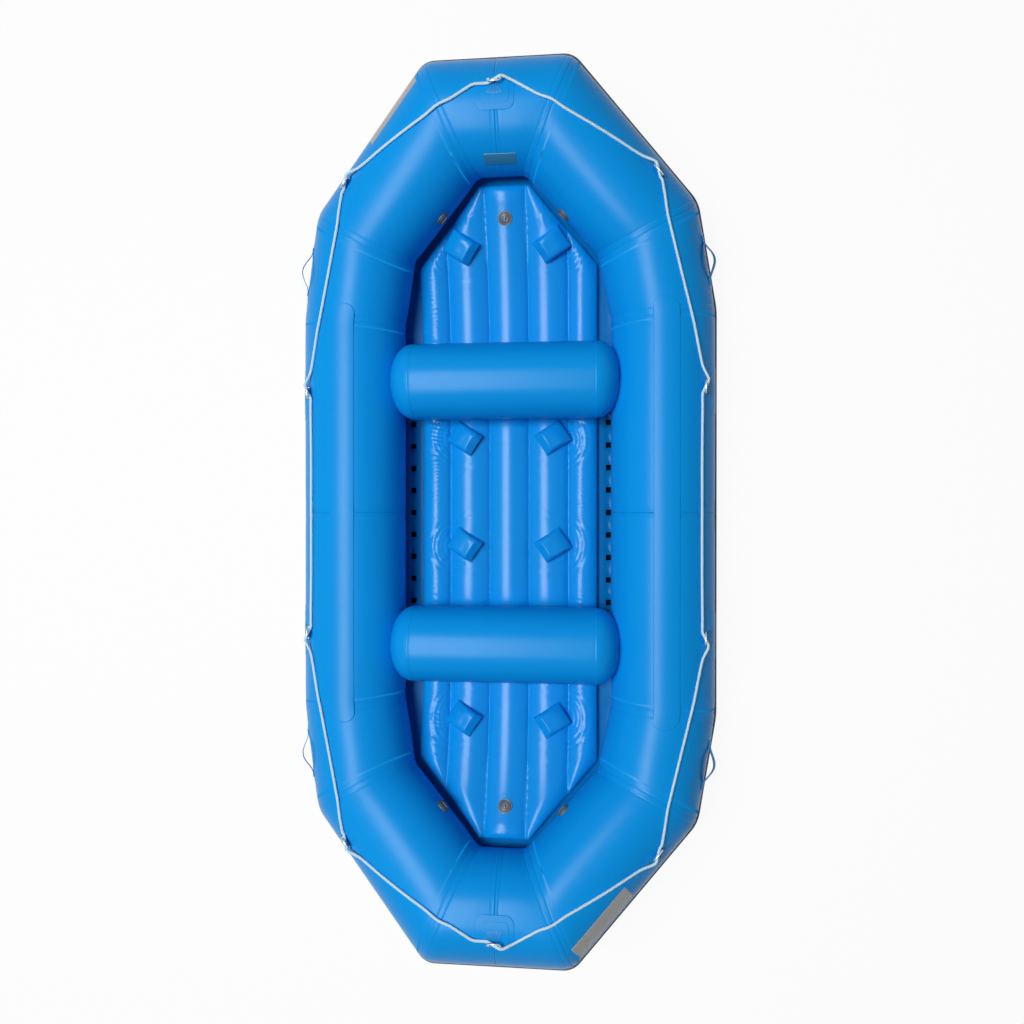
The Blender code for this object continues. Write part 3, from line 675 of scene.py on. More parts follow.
def skin_patch(name, at, size, finish, signs, stands_for=(), base=0.0, steps=(10, 8)):
    """A thin piece glued on one straight run.

    at is the run, the length along it and the angle; size is half length, half width, corner and thickness.
    """
    part, middle, angle = at
    u, v, height = patch_grid(*size, *steps)
    points = mirrored(on_skin(part, middle + u, angle + v / skin_radius, height + base), *signs)
    lengths = np.stack([u, v], -1)
    new_piece(name, points, grid_faces(*u.shape), finish, stands_for=stands_for, lengths=lengths)


# Settings


def colour_setting(name, description, default):
    return bpy.props.FloatVectorProperty(
        name=name, description=description, subtype="COLOR", size=3, min=0.0, max=1.0, default=default
    )


class RaftSettings(bpy.types.PropertyGroup):
    """The raft's colours, and the sizes that its fine forms are made with"""

    skin_colour: colour_setting("Tube skin", "Colour of the tubes' coated fabric", (0.002, 0.300, 0.79))
    floor_colour: colour_setting("Floor skin", "Colour of the floor's coated fabric", (0.003, 0.285, 0.76))
    pad_colour: colour_setting("Chafe pad", "Colour of the pads on the side tubes", (0.002, 0.295, 0.78))
    webbing_colour: colour_setting("Webbing", "Colour of straps and ring tabs", (0.002, 0.26, 0.68))
    strake_colour: colour_setting("Rub strake", "Colour of the rubber strake", (0.018, 0.018, 0.019))
    stripe_colour: colour_setting("Strake stripe", "Colour of the two stripes", (0.74, 0.71, 0.70))
    rope_colour: colour_setting("Rope", "Colour of the perimeter line", (0.64, 0.87, 0.98))
    steel_colour: colour_setting("Ring steel", "Colour of the D rings", (0.60, 0.62, 0.65))
    valve_colour: colour_setting("Valve plastic", "Colour of valves and caps", (0.085, 0.105, 0.125))
    plate_colour: colour_setting("Bare plate", "Colour of the bare plates", (0.36, 0.36, 0.36))
    tube_steps: bpy.props.IntProperty(
        name="Tube steps", description="Points round a tube's section", default=96, min=24, max=256
    )
    pucker_depth: bpy.props.FloatProperty(
        name="Pucker depth",
        description="Height of the floor's puckers",
        unit="LENGTH",
        default=0.0018,
        min=0.0,
    )
    drain_hole: bpy.props.FloatProperty(
        name="Drain hole", description="Side of a square drain hole", unit="LENGTH", default=0.025, min=0.005
    )


# Operators


class RAFT_OT_tube_skins(bpy.types.Operator):
    """Builds the skins of the four air chambers, with taped seams at each bend"""

    bl_idname = "raft.tube_skins"
    bl_label = "Tube skins"

    def execute(self, context):
        angle = np.linspace(0, 2 * math.pi, context.scene.raft.tube_steps, endpoint=False)
        rows = quarter_rows(angle, np.zeros_like(angle))
        faces = grid_faces(len(rows), len(angle), round_columns=True, capped=True)
        for place, signs in QUARTERS.items():
            points = mirrored(rows, *signs)
            node = "chamber_" + place
            new_piece("tube_" + place, points, faces, "tube_skin", stands_for=[node])
        return {"FINISHED"}


class RAFT_OT_strake(bpy.types.Operator):
    """Builds the ribbed rub strake and its two stripes, rounded at each bend"""

    bl_idname = "raft.strake"
    bl_label = "Rub strake"

    low, high = -3.5 * column, 1.5 * column
    base, sink = 0.0004, 0.0008

    # The section over the strake's width: a rounded edge, a ridge, the flat with the stripes, and again.
    edge = ((0.0, 0.0), (0.004, 0.0022), (0.015, 0.0036), (0.04, strake_thick))
    ridge = (strake_thick, 0.0047, 0.0062, strake_out, 0.0062, 0.0047, strake_thick)
    low_ridge_shares = (0.145, 0.158, 0.172, 0.2, 0.228, 0.242, 0.255)
    flat_shares = (0.33, 0.5, 0.62, 0.79)
    high_ridge_shares = (0.835, 0.85, 0.862, 0.875, 0.89, 0.905, 0.92)

    # Each stripe's limits over the strake's width, and the section over its own width.
    stripes = {"lower": (0.34, 0.51), "upper": (0.63, 0.77)}
    stripe_rims = (0.0, 0.0, 0.04, 0.12, 0.5, 0.88, 0.96, 1.0, 1.0)
    stripe_lifts = (0.0030, 0.0046, 0.0053, 0.0054, 0.0054, 0.0054, 0.0053, 0.0046, 0.0030)

    def execute(self, context):
        top = [*self.edge, *zip(self.low_ridge_shares, self.ridge)]
        top += [(share, strake_thick) for share in self.flat_shares]
        top += zip(self.high_ridge_shares, self.ridge)
        top += [(1 - share, height) for share, height in self.edge[::-1]]
        section = [(share, self.base + height) for share, height in top]
        self.belt("strake_rubber", [*section, (1.0, -self.sink), (0.0, -self.sink)], "strake", "rub_strake")
        for stripe, (first, last) in self.stripes.items():
            shares = [first + (last - first) * rim for rim in self.stripe_rims]
            section = list(zip(shares, self.stripe_lifts))
            self.belt("stripe_" + stripe, section, "stripe", "strake_stripe_" + stripe)
        return {"FINISHED"}

    def belt(self, name, section, finish, node):
        """A closed belt round the hull, from shares of the strake's width and heights over the skin."""
        shares, heights = np.array(section).T
        rows = whole_loop(self.low + (self.high - self.low) * shares, heights)
        faces = grid_faces(len(rows), len(section), round_rows=True, round_columns=True)
        new_piece(name, rows, faces, finish, stands_for=[node])


class RAFT_OT_chafe_pads(bpy.types.Operator):
    """Builds the two long pads on top of the side tubes"""

    bl_idname = "raft.chafe_pads"
    bl_label = "Chafe pads"

    half_columns = 2.5
    past_bend = 0.038
    corner, thick, base = 0.050, 0.0020, 0.0002
    steps = (60, 12)

    def execute(self, context):
        half_wide = self.half_columns * column * skin_radius
        half_long = bend_side_y + self.past_bend
        u, v, height = patch_grid(half_long, half_wide, self.corner, self.thick, *self.steps)
        points = along_side(u, math.pi / 2 + v / skin_radius, height + self.base)
        faces = grid_faces(*u.shape)
        lengths = np.stack([u, v], -1)
        for side, sign in (("port", 1), ("starboard", -1)):
            placed = mirrored(points, sign, 1)
            node = "chafe_pad_" + side
            new_piece(
                "pad_" + side, placed, faces, "pad_skin", stands_for=[node], lengths=lengths
            )
        return {"FINISHED"}


class RAFT_OT_thwarts(bpy.types.Operator):
    """Builds the two cross tubes with their domed, taped ends"""

    bl_idname = "raft.thwarts"
    bl_label = "Thwarts"

    radius, half = 0.1678, 0.512
    dent_gap = 0.0012

    # The domed end, as shares of the half length and of the radius. The seam lies at its inner rim.
    dome_shares = (
        *((1.0, 0.0), (0.998, 0.13), (0.992, 0.26), (0.980, 0.42), (0.965, 0.56), (0.945, 0.69)),
        *((0.92, 0.80), (0.89, 0.885), (0.86, 0.945), (0.83, 0.982), (0.80, 0.998)),
    )
    seam_share, rim_share = dome_shares[-1]
    from_seam = (
        *(0.004, 0.008, 0.010, 0.0116, 0.0132, 0.016, 0.022, 0.032),
        *(0.05, 0.08, 0.12, 0.17, 0.23, 0.3, 0.37),
    )
    tape_end, tape_lift = 0.0100, 0.0005
    groove_place, groove_width, groove_depth = 0.0116, 0.0014, 0.0010
    fullness, full_after = 0.0003, 0.1
    sides = 88

    def section(self):
        """Places along a thwart and the radius at each."""
        profile = [(self.half * along, self.radius * out) for along, out in self.dome_shares]
        for step in self.from_seam:
            groove = self.groove_depth * bell(step - self.groove_place, self.groove_width)
            out = self.radius * self.rim_share - groove + self.tape_lift * (step < self.tape_end)
            out += self.fullness * float(ease((step - self.tape_end) / self.full_after))
            profile.append((self.seam_share * self.half - step, out))
        return np.array(profile + [(-along, out) for along, out in profile[::-1]])

    def execute(self, context):
        profile = self.section()
        around = np.linspace(0, 2 * math.pi, self.sides, endpoint=False)
        for place in ("bow", "stern"):
            low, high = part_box("thwart_" + place)
            middle = (low + high) / 2
            along, out = profile[:, :1], profile[:, 1:]
            height = out * np.sin(around)
            reach = out * np.cos(around)
            x = np.broadcast_to(along, height.shape).copy()
            # The ends lie against the round side tubes and dent where they press.
            over = middle.z + height - apothem
            inner = side_axis_x - np.sqrt(np.maximum((skin_radius + self.dent_gap) ** 2 - over**2, 0))
            x = np.sign(x) * np.minimum(np.abs(x), inner)
            points = np.stack([x, middle.y + reach, middle.z + height], -1)
            faces = grid_faces(len(profile), len(around), round_columns=True, capped=True)
            name, node = "cross_tube_" + place, "thwart_" + place
            made = new_piece(name, points, faces, "tube_skin", stands_for=[node])
        return {"FINISHED"}


# The floor: its five lobes, the height that its ends rise to, and how far it stays off the tube's axis.
floor_from_axis = 0.222
flat_y, risen_y, end_rise = 0.70, end_axis_y - floor_from_axis, bend_end_z - tube_radius
floor_low, floor_thick, notch = 0.015, 0.115, 0.030
lobe_middle, lobe_inner, floor_half = 0.092, 0.276, 0.410
lobe_edges = np.array([-floor_half, -lobe_inner, -lobe_middle, lobe_middle, lobe_inner, floor_half])
floor_nose = 0.05
beyond_all = 1e3

# How much of a lobe's fall towards its seams is round, and how much is close to them.
round_fall, edge_fall = 0.8, 0.2

# Gathers, whose heights are shares of the pucker depth and whose waves are in radians a metre. The outer
# chambers have their own height for port and starboard.
seam_gather, seam_reach, seam_waves = 0.45, 0.020, 262
end_fade, fade_from, fade_over = 0.8, 0.95, 0.3
outer_gather, outer_reach, outer_waves = {-1: 1.1, 1: 0.55}, 0.042, 300
fan_gather, fan_radius, fan_reach, fan_folds = 0.35, 0.115, 0.03, 17

# The foot cups' places, and how the outer lobe leans and creases round them.
CUPS = {"bow": 1.205, "fore": 0.345, "mid": -0.150, "stern": -0.955}
cup_x = 0.205
outer_lobe_x, outer_seam_x, crease_reach = 0.345, 0.184, 0.045
cup_lean, lean_aft, lean_reach = 70.0, 0.01, 0.075
# Curved creases: radius about the cup, share of the pucker depth, and width.
crease_arcs = ((0.092, 1.3, 0.006), (0.108, 1.0, 0.006), (0.126, 1.2, 0.007), (0.148, 0.8, 0.008))
# Creases across the lobe: distance past the cup and share of the pucker depth.
crease_lines = ((0.121, 1.0), (0.160, 0.5), (-0.128, 0.8), (-0.176, 0.4))
crease_width, arc_wander, line_wander = 0.0042, 0.006, 0.012


def rocker(y):
    """How far the floor has risen at y."""
    share = np.maximum(0.0, np.abs(y) - flat_y) / (risen_y - flat_y)
    return end_rise * share**2


def rocker_slope(y):
    """How steeply the floor climbs at y."""
    return math.copysign(2 * end_rise * max(0.0, abs(y) - flat_y) / (risen_y - flat_y) ** 2, y)


def floor_top(y):
    return float(rocker(y)) + floor_low + floor_thick


def end_cut(part):
    """A point on the line that the mattress is cut to beside a run, and the direction inwards."""
    flat = unit(runs[part][:2])
    inward = np.array([flat[1], -flat[0]])
    return corners[part][:2] + inward * floor_from_axis, inward


def plan_distance(x, y):
    """How far a floor point lies inside the line that the mattress is cut to at both ends."""
    distance = np.full(np.broadcast(x, y).shape, beyond_all)
    for part in (DIAGONAL, END):
        start, inward = end_cut(part)
        inside = (-np.abs(x) - start[0]) * inward[0] + (np.abs(y) - start[1]) * inward[1]
        distance = np.minimum(distance, inside)
    return distance


def cut_half_width(y):
    """Half the width between the cuts along the diagonals at y."""
    start, inward = end_cut(DIAGONAL)
    return -(start[0] - (np.abs(y) - start[1]) * inward[1] / inward[0])


def lobes(x):
    """How far the mattress's surface lies under its crests, across the five chambers."""
    i = np.clip(np.searchsorted(lobe_edges, x) - 1, 0, len(lobe_edges) - 2)
    middle = (lobe_edges[i] + lobe_edges[i + 1]) / 2
    half = (lobe_edges[i + 1] - lobe_edges[i]) / 2
    share = np.clip(np.abs(x - middle) / half, 0, 1)
    return notch * (round_fall * share**2 + edge_fall * share**8)


def uneven(y, seed):
    """A slow, uneven swell along the raft, from 0 to 1."""
    swell = np.sin(y * 2.3 + seed) + np.sin(y * 5.1 + seed * 2.7) + 0.6 * np.sin(y * 9.7 + seed * 4.1)
    return ease((swell + 0.6) / 2.2)


def seam_gathers(x, y):
    """Small gathers along the sides of every chamber, which fade towards the mattress's ends."""
    total = 0.0
    for k, seam in enumerate(lobe_edges):
        near = bell(x - seam, seam_reach) * (1 - end_fade * ease((np.abs(y) - fade_from) / fade_over))
        phase = y * seam_waves + 5.0 * np.sin(y * 11 + k * 2) + 3.0 * np.sin(y * 31 + k)
        total = total + seam_gather * near * np.sin(phase) * uneven(y, k * 1.7)
    return total


def outer_gathers(x, y, side):
    """Rough gathers along the middle of an outer chamber."""
    near = bell((x - side * outer_lobe_x) * side, outer_reach)
    phase = y * outer_waves + x * 60 + 6.0 * np.sin(y * 8 + side) + 2.0 * np.sin(y * 37 + side)
    rough = 0.25 + 0.75 * uneven(y, 0.9 + side)
    rough = rough * (0.62 + 0.38 * np.sin(y * 61 + 3 * np.sin(y * 17) + x * 70))
    return outer_gather[side] * near * rough * np.sin(phase)


def cup_creases(x, y, side, k, cup_y):
    """How an outer chamber leans away from a cup, in creases that follow the cup's round."""
    out = (x - side * outer_lobe_x) * side
    total = cup_lean * out * bell(out, outer_reach) * bell(y - cup_y + lean_aft, lean_reach)
    ring = np.hypot((x - side * cup_x) / 1.1, y - cup_y)
    fan = np.arctan2(y - cup_y, (x - side * cup_x) * side)
    outward = ease(0.4 + 1.1 * np.cos(fan))
    wander = arc_wander * np.sin(fan * 2.3 + k * 1.9 + side)
    for radius, share, wide in crease_arcs:
        total = total - share * bell(ring - radius - wander, wide) * outward
    folds = np.sin(fan * fan_folds + k * 2 + ring * 60)
    total = total + fan_gather * bell(ring - fan_radius, fan_reach) * folds
    cross = bell(x - side * outer_seam_x, crease_reach)
    for off, share in crease_lines:
        line = y - cup_y - off - line_wander * np.sin(x * 40 + k)
        total = total - share * cross * bell(line, crease_width)
    return total


def puckers(x, y, depth):
    """Where the mattress's fabric is pulled at its seams and beside the foot cups."""
    total = seam_gathers(x, y)
    for side in (-1, 1):
        total = total + outer_gathers(x, y, side)
        for k, cup_y in enumerate(CUPS.values()):
            total = total + cup_creases(x, y, side, k, cup_y)
    return total * depth


class RAFT_OT_floor(bpy.types.Operator):
    """Builds the air floor's mattress and the strip with drain holes round it"""

    bl_idname = "raft.floor"
    bl_label = "Floor"

    # The mattress's grid, and its rounded rim.
    rows = 841
    outer_steps, inner_steps = 27, 15
    rim_width, rim_half_thick = 0.075, 0.004
    underside_steps = 4, 2

    # The strip reaches under the mattress and into the tube, and narrows where the tube is near.
    drain_pitch, drain_pairs, drain_from_mattress = 0.105, 7, 0.052
    strip_under, strip_past, strip_thick = 0.012, 0.004, 0.0022
    strip_narrow, strip_narrow_margin = 0.108, 0.008
    strip_sag, crinkle_high, crinkle_from = 0.004, 0.0022, 0.015
    side_steps, bow_steps, nose_steps = 14, 16, 12
    hole_columns, outer_columns, on_line = (3, 4), 4, 1e-4
    search_start, search_share, search_rounds = 0.02, 0.5, 60

    def execute(self, context):
        raft = context.scene.raft
        self.mattress(raft.pucker_depth)
        self.flange(raft.drain_hole)
        return {"FINISHED"}

    def mattress(self, depth):
        """Five lobes that narrow with the bow and the stern, with a round rim."""
        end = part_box("floor_mattress")[1].y
        y = np.linspace(-end, end, self.rows)
        places = []
        for k, (first, last) in enumerate(zip(lobe_edges, lobe_edges[1:])):
            if k in (0, len(lobe_edges) - 2):
                steps = np.linspace(0, 1, self.outer_steps)
            else:
                steps = 0.5 - 0.5 * np.cos(np.linspace(0, math.pi, self.inner_steps))
            places += list(first + (last - first) * steps[:-1])
        shares = np.array(places + [lobe_edges[-1]]) / floor_half
        half = np.minimum(floor_half, np.maximum(cut_half_width(y), floor_nose))
        x = shares[None, :] * half[:, None]
        yy = np.broadcast_to(y[:, None], x.shape)
        inside = np.minimum(plan_distance(x, yy), end - np.abs(yy))
        rim = np.sqrt(np.clip(1 - (1 - np.clip(inside / self.rim_width, 0, 1)) ** 2, 0, 1))
        least = self.rim_half_thick
        crest = (floor_thick / 2 - lobes(x) - least) * rim
        middle = rocker(yy) + floor_low + floor_thick / 2
        top = middle + least + crest + puckers(x, yy, depth) * rim
        under = middle - least - crest
        rows, columns = x.shape
        # The underside is a coarser grid, joined to the top all round its rim.
        tall, wide = self.underside_steps
        below = np.stack([x, yy, under], -1)[::tall, ::wide]
        points = np.concatenate([np.stack([x, yy, top], -1).reshape(-1, 3), below.reshape(-1, 3)])
        first = rows * columns
        low_rows, low_columns = below.shape[:2]
        faces = grid_faces(rows, columns) + grid_faces(low_rows, low_columns, start=first)
        for i in range(low_rows - 1):
            for j, k in ((0, 0), (columns - 1, low_columns - 1)):
                upper = [(i * tall + s) * columns + j for s in range(tall + 1)]
                faces.append((*upper, first + (i + 1) * low_columns + k, first + i * low_columns + k))
        for j in range(low_columns - 1):
            for i, k in ((0, 0), (rows - 1, low_rows - 1)):
                upper = [i * columns + j * wide + s for s in range(wide + 1)]
                faces.append((*upper, first + k * low_columns + j + 1, first + k * low_columns + j))
        node = "floor_mattress"
        made = new_piece("air_floor", points, faces, "floor_skin", stands_for=[node])

    def strip_rim(self, edges):
        """The strip's inner line in plan, once round, with a point at each edge of a hole along the sides."""
        start, inward = end_cut(DIAGONAL)
        knee_y = start[1] + (-floor_half - start[0]) * (-inward[0]) / inward[1]
        meet_x, meet_y = cut_half_width(risen_y), risen_y
        aft = np.linspace(-knee_y, edges[0], self.side_steps)[:-1]
        fore = np.linspace(edges[-1], knee_y, self.side_steps)[1:]
        port = [(-floor_half, y) for y in (*aft, *edges, *fore)]
        bow = [
            (-floor_half + (floor_half - meet_x) * t, knee_y + (meet_y - knee_y) * t)
            for t in np.linspace(0, 1, self.bow_steps)
        ]
        nose = [(-meet_x + 2 * meet_x * t, meet_y) for t in np.linspace(0, 1, self.nose_steps)]
        # Each half ends where the other starts.
        half_way = (port + bow[1:] + nose[1:] + [(-x, y) for x, y in bow[-2::-1]])[:-1]
        return np.array(half_way + [(-x, -y) for x, y in half_way])

    def flange(self, hole):
        """A strip from the mattress's rim to the tubes, with square holes along each side."""
        holes = [i * self.drain_pitch for i in range(-self.drain_pairs, self.drain_pairs + 1)]
        edges = sorted({at + sign * hole / 2 for at in holes for sign in (-1, 1)})
        inner = self.strip_rim(edges)
        toward = unit(np.roll(inner, -1, 0) - np.roll(inner, 1, 0))
        outward = np.stack([-toward[:, 1], toward[:, 0]], -1)
        on_side = np.abs(np.abs(inner[:, 0]) - floor_half) < self.on_line
        outward[on_side] = np.stack([np.sign(inner[on_side, 0]), np.zeros(on_side.sum())], -1)
        z = rocker(inner[:, 1]) + floor_low + floor_thick / 2
        reach = self.reach_to_tube(inner, outward, z)
        gate = self.drain_from_mattress - hole / 2, self.drain_from_mattress + hole / 2
        fixed = np.array([-self.strip_under, 0.0, self.strip_under, gate[0], sum(gate) / 2, gate[1]])
        columns = len(fixed) + self.outer_columns
        points = np.zeros((len(inner), columns, 3))
        for i, (_, y) in enumerate(inner):
            # Where the tube is near, the steps draw together.
            room = self.strip_narrow - self.strip_narrow_margin
            narrow = min(1.0, (reach[i] - self.strip_narrow_margin) / room)
            steps = fixed * narrow if reach[i] < self.strip_narrow else fixed
            outer = np.linspace(steps[-1], reach[i] + self.strip_past, self.outer_columns + 1)
            steps = np.array([*steps, *outer[1:]])
            flat_points = inner[i] + outward[i] * steps[:, None]
            sag = -self.strip_sag * np.sin(np.clip(steps / reach[i], 0, 1) * math.pi)
            crinkle = self.crinkle_high * np.sin(y * 83 + 2 * math.sin(y * 11)) * (steps > self.crinkle_from)
            lift = sag + crinkle * np.sin(steps * 60 + y * 20)
            points[i] = np.column_stack([flat_points, z[i] + lift])
        faces = []
        for i in range(len(inner)):
            k = (i + 1) % len(inner)
            middle = (inner[i, 1] + inner[k, 1]) / 2
            holed = on_side[i] and on_side[k] and any(abs(middle - at) < hole / 2 for at in holes)
            for j in range(columns - 1):
                a, b = i * columns + j, k * columns + j
                if not (holed and j in self.hole_columns):
                    faces.append((a, a + 1, b + 1, b))
        node = "floor_flange"
        # The strip takes the floor's skin darkened as painted shade.
        made = new_piece("drain_strip", points, faces, "strip_skin_painted_shade", stands_for=[node])
        thicken(made, self.strip_thick)

    def reach_to_tube(self, inner, outward, z):
        """How far each rim point is from the tube's skin, straight outwards, found step by step."""
        reach = np.full(len(inner), self.search_start)
        for _ in range(self.search_rounds):
            x, y = np.abs(inner + outward * reach[:, None]).T
            here = np.stack([-x, y, z], -1)
            gap = np.full(len(inner), beyond_all)
            for part in range(4):
                t = np.clip((here - corners[part]) @ runs[part], 0, run_lengths[part])
                foot = corners[part] + runs[part] * t[:, None]
                gap = np.minimum(gap, np.linalg.norm(here - foot, axis=1) - skin_radius)
            reach += np.maximum(gap, 0) * self.search_share
        return reach


class RAFT_OT_foot_cups(bpy.types.Operator):
    """Builds the eight folded foot cups"""

    bl_idname = "raft.foot_cups"
    bl_label = "Foot cups"

    half, reach, high, toe = 0.0555, 0.0675, 0.0545, 0.012
    turn = 57.0
    sink, skirt, toe_lap, wall = 0.004, -0.030, 0.002, 0.0022
    arch_steps, arch_power = 41, 0.5

    # The ridge and its bow, and the flap's dent with its place and reach across and along the cup.
    ridge, bow_deep, bow_reach = -0.56, 0.006, 0.35
    dent_deep, dent_across, dent_along = 0.0025, (0.15, 0.5), (-0.12, 0.26)

    # Folds: height, waves over the width, turns by the cup's y and its side, place along it and reach.
    folds = ((0.0010, 9, 40, 0, 0.35, 0.35), (0.0014, 5, 17, 1, -0.8, 0.2))

    # Rows along the cup from its mouth to its toe, and its height at some of them.
    row_shares = (
        *(-1.0, -0.985, -0.95, -0.90, -0.80, -0.70, -0.63, -0.59, -0.56, -0.53, -0.48, -0.40, -0.28, -0.14),
        *(0.0, 0.14, 0.28, 0.42, 0.56, 0.70, 0.82, 0.91, 0.97, 1.0),
    )
    height_shares = {
        **{-1.0: 0.36, -0.95: 0.43, -0.80: 0.68, -0.63: 0.945, -0.59: 0.985, -0.56: 1.0, -0.53: 0.995},
        **{-0.48: 0.985, -0.28: 0.955, 0.0: 0.88, 0.28: 0.745, 0.56: 0.54, 0.82: 0.29, 0.97: 0.08, 1.0: 0.0},
    }

    def execute(self, context):
        for place, y in CUPS.items():
            for side_name, side in (("port", -1), ("starboard", 1)):
                self.cup(f"{place}_{side_name}", side, y)
        return {"FINISHED"}

    def cup(self, name, side, y):
        turned = (
            Matrix.Translation((side * cup_x, y, floor_top(y) - self.sink))
            @ Matrix.Rotation(math.atan(rocker_slope(y)), 4, "X")
            @ Matrix.Rotation(math.radians(-side * self.turn), 4, "Z")
        )
        local = self.form(side, y)
        placed, cloth, faces = moved(local, turned), local[..., :2], grid_faces(*local.shape[:2])
        node = "foot_cup_" + name
        made = new_piece(
            "cup_" + name, placed, faces, "floor_skin", stands_for=[node], lengths=cloth
        )
        thicken(made, self.wall, -1.0)

    def form(self, side, y):
        """A cup's outer skin over its own ground, with a skirt that goes down into the floor."""
        v = np.array(self.row_shares)
        shares = np.interp(v, list(self.height_shares), list(self.height_shares.values()))
        height = self.toe + (self.high - self.toe) * shares
        arch = np.linspace(0, math.pi, self.arch_steps)
        bulge = np.abs(np.cos(arch)) ** self.arch_power * np.sign(np.cos(arch))
        rise = np.sin(arch) ** self.arch_power
        u = self.half * bulge[None, :] * np.ones((len(v), 1))
        bow = self.bow_deep * np.outer(bell(v - self.ridge, self.bow_reach), 1 - bulge**2)
        (across_at, across_reach), (along_at, along_reach) = self.dent_across, self.dent_along
        hollow = bell(bulge * side - across_at, across_reach)
        w = height[:, None] - self.dent_deep * np.outer(bell(v - along_at, along_reach), hollow)
        for high, waves, by_y, by_side, place, reach in self.folds:
            fold = np.sin(bulge * waves + y * by_y + side * by_side)
            w = w + high * np.outer(bell(v - place, reach), fold)
        w = w * rise
        along = (v * self.reach)[:, None] + bow
        base = np.full((len(v), 1), self.skirt)
        skin = [np.concatenate([row[:, :1], row, row[:, -1:]], 1) for row in (u, along)]
        local = np.stack([*skin, np.concatenate([base, w, base], 1)], -1)
        toe_row = local[-1:].copy()
        toe_row[..., 1] += self.toe_lap
        toe_row[..., 2] = self.skirt
        return np.concatenate([local, toe_row])


def run_along(path):
    """The length along a path at each of its points."""
    return np.concatenate([[0], np.cumsum(np.linalg.norm(np.diff(path, axis=0), axis=1))])


def wire_mesh(path, radius, sides, closed=True):
    """A tube of points round a path, and the length and girth of each point for its pattern."""
    path = np.asarray(path, float)
    ahead = np.roll(path, -1, 0) - np.roll(path, 1, 0)
    if not closed:
        ahead[0], ahead[-1] = path[1] - path[0], path[-1] - path[-2]
    ahead = unit(ahead)
    side = np.cross(ahead[0], [0.0, 0.0, 1.0])
    if np.linalg.norm(side) < 0.1:
        side = np.cross(ahead[0], [0.0, 1.0, 0.0])
    side = unit(side)
    carried = []
    for direction in ahead:
        side = unit(side - direction * (side @ direction))
        carried.append(side)
    across = np.array(carried)
    if closed:
        # Any twist left at the end of the loop is spread along it.
        end = unit(across[-1] - ahead[0] * (across[-1] @ ahead[0]))
        lift = np.cross(ahead[0], across[0])
        twist = math.atan2(end @ lift, end @ across[0])
        turn = -twist * np.arange(len(path)) / (len(path) - 1)
        lifts = np.cross(ahead, across)
        across = across * np.cos(turn)[:, None] + lifts * np.sin(turn)[:, None]
    lifts = np.cross(ahead, across)
    around = np.linspace(0, 2 * math.pi, sides, endpoint=False)
    cosines, sines = np.cos(around)[None, :, None], np.sin(around)[None, :, None]
    points = path[:, None, :] + (across[:, None, :] * cosines + lifts[:, None, :] * sines) * radius
    lengths = np.stack(np.broadcast_arrays(run_along(path)[:, None], (around * radius)[None, :]), -1)
    faces = grid_faces(len(path), sides, round_rows=closed, round_columns=True, capped=not closed)
    return points, lengths, faces


# A rounded corner takes at most this share of the stretch to the next one.
corner_room = 0.45


def softened(points, cut, steps):
    """A closed path with each corner rounded over a short length, one for all or one for each point."""
    points = np.asarray(points, float)
    made = []
    count = len(points)
    cuts = np.broadcast_to(cut, count)
    for i in range(count):
        before, here, after = points[i - 1], points[i], points[(i + 1) % count]
        room = min(np.linalg.norm(before - here), np.linalg.norm(after - here)) * corner_room
        reach = min(cuts[i], room)
        first = here + unit(before - here) * reach
        last = here + unit(after - here) * reach
        for t in np.linspace(0, 1, steps):
            made.append(first * (1 - t) ** 2 + here * 2 * t * (1 - t) + last * t**2)
    return np.array(made)


# D rings: the run, the length along it and the facet that each sits on, and its quarter's signs.
ring_wire, ring_half, ring_arm, ring_tilt = 0.003, 0.029, 0.012, math.radians(40.0)
ring_height = 0.007
ring_corner = 0.0045
side_ring_s, quarter_ring_s = 0.53, 0.156
side_ring_facet, end_ring_facet = 8, 11
RINGS = {}
for place_name, place_signs in QUARTERS.items():
    RINGS["side_" + place_name] = (SIDE, side_ring_s, side_ring_facet, place_signs)
    RINGS["quarter_" + place_name] = (DIAGONAL, quarter_ring_s, side_ring_facet, place_signs)
RINGS["bow"] = (END, run_lengths[END], end_ring_facet, (1, 1))
RINGS["stern"] = (END, run_lengths[END], end_ring_facet, (1, -1))


def ring_axes(name, signs=None):
    """A ring's bar centre, four directions, and the point of the skin under the bar.

    The directions are along the bar, up the ring, off the tube and up the tube.
    """
    part, along, facet, own = RINGS[name]
    signs = signs or own
    angle = facet * column
    off = normal_at(part, angle)
    climb = ups[part] * math.cos(angle) - outs[part] * math.sin(angle)
    reach = climb * math.cos(ring_tilt) + off * math.sin(ring_tilt)
    skin = corners[part] + runs[part] * along + off * apothem
    centre = skin + off * ring_height
    return [mirrored(v, *signs) for v in (centre, runs[part], reach, off, climb, skin)]


class RAFT_OT_d_rings(bpy.types.Operator):
    """Builds the ten steel D rings"""

    bl_idname = "raft.d_rings"
    bl_label = "D rings"

    arc_steps, corner_steps, wire_sides = 17, 5, 14

    def execute(self, context):
        for name in RINGS:
            centre, bar, reach, _, _, _ = ring_axes(name)
            outline = [(-ring_half, 0.0), (0.0, 0.0), (ring_half, 0.0), (ring_half, ring_arm)]
            for swing in np.linspace(0, math.pi, self.arc_steps)[1:-1]:
                outline.append((ring_half * math.cos(swing), ring_arm + ring_half * math.sin(swing)))
            outline.append((-ring_half, ring_arm))
            path = [centre + bar * a + reach * b for a, b in outline]
            path = softened(path, ring_corner, self.corner_steps)
            points, lengths, faces = wire_mesh(path, ring_wire, self.wire_sides)
            node = "d_ring_" + name
            new_piece("ring_" + name, points, faces, "steel", node, [node], lengths)
        return {"FINISHED"}


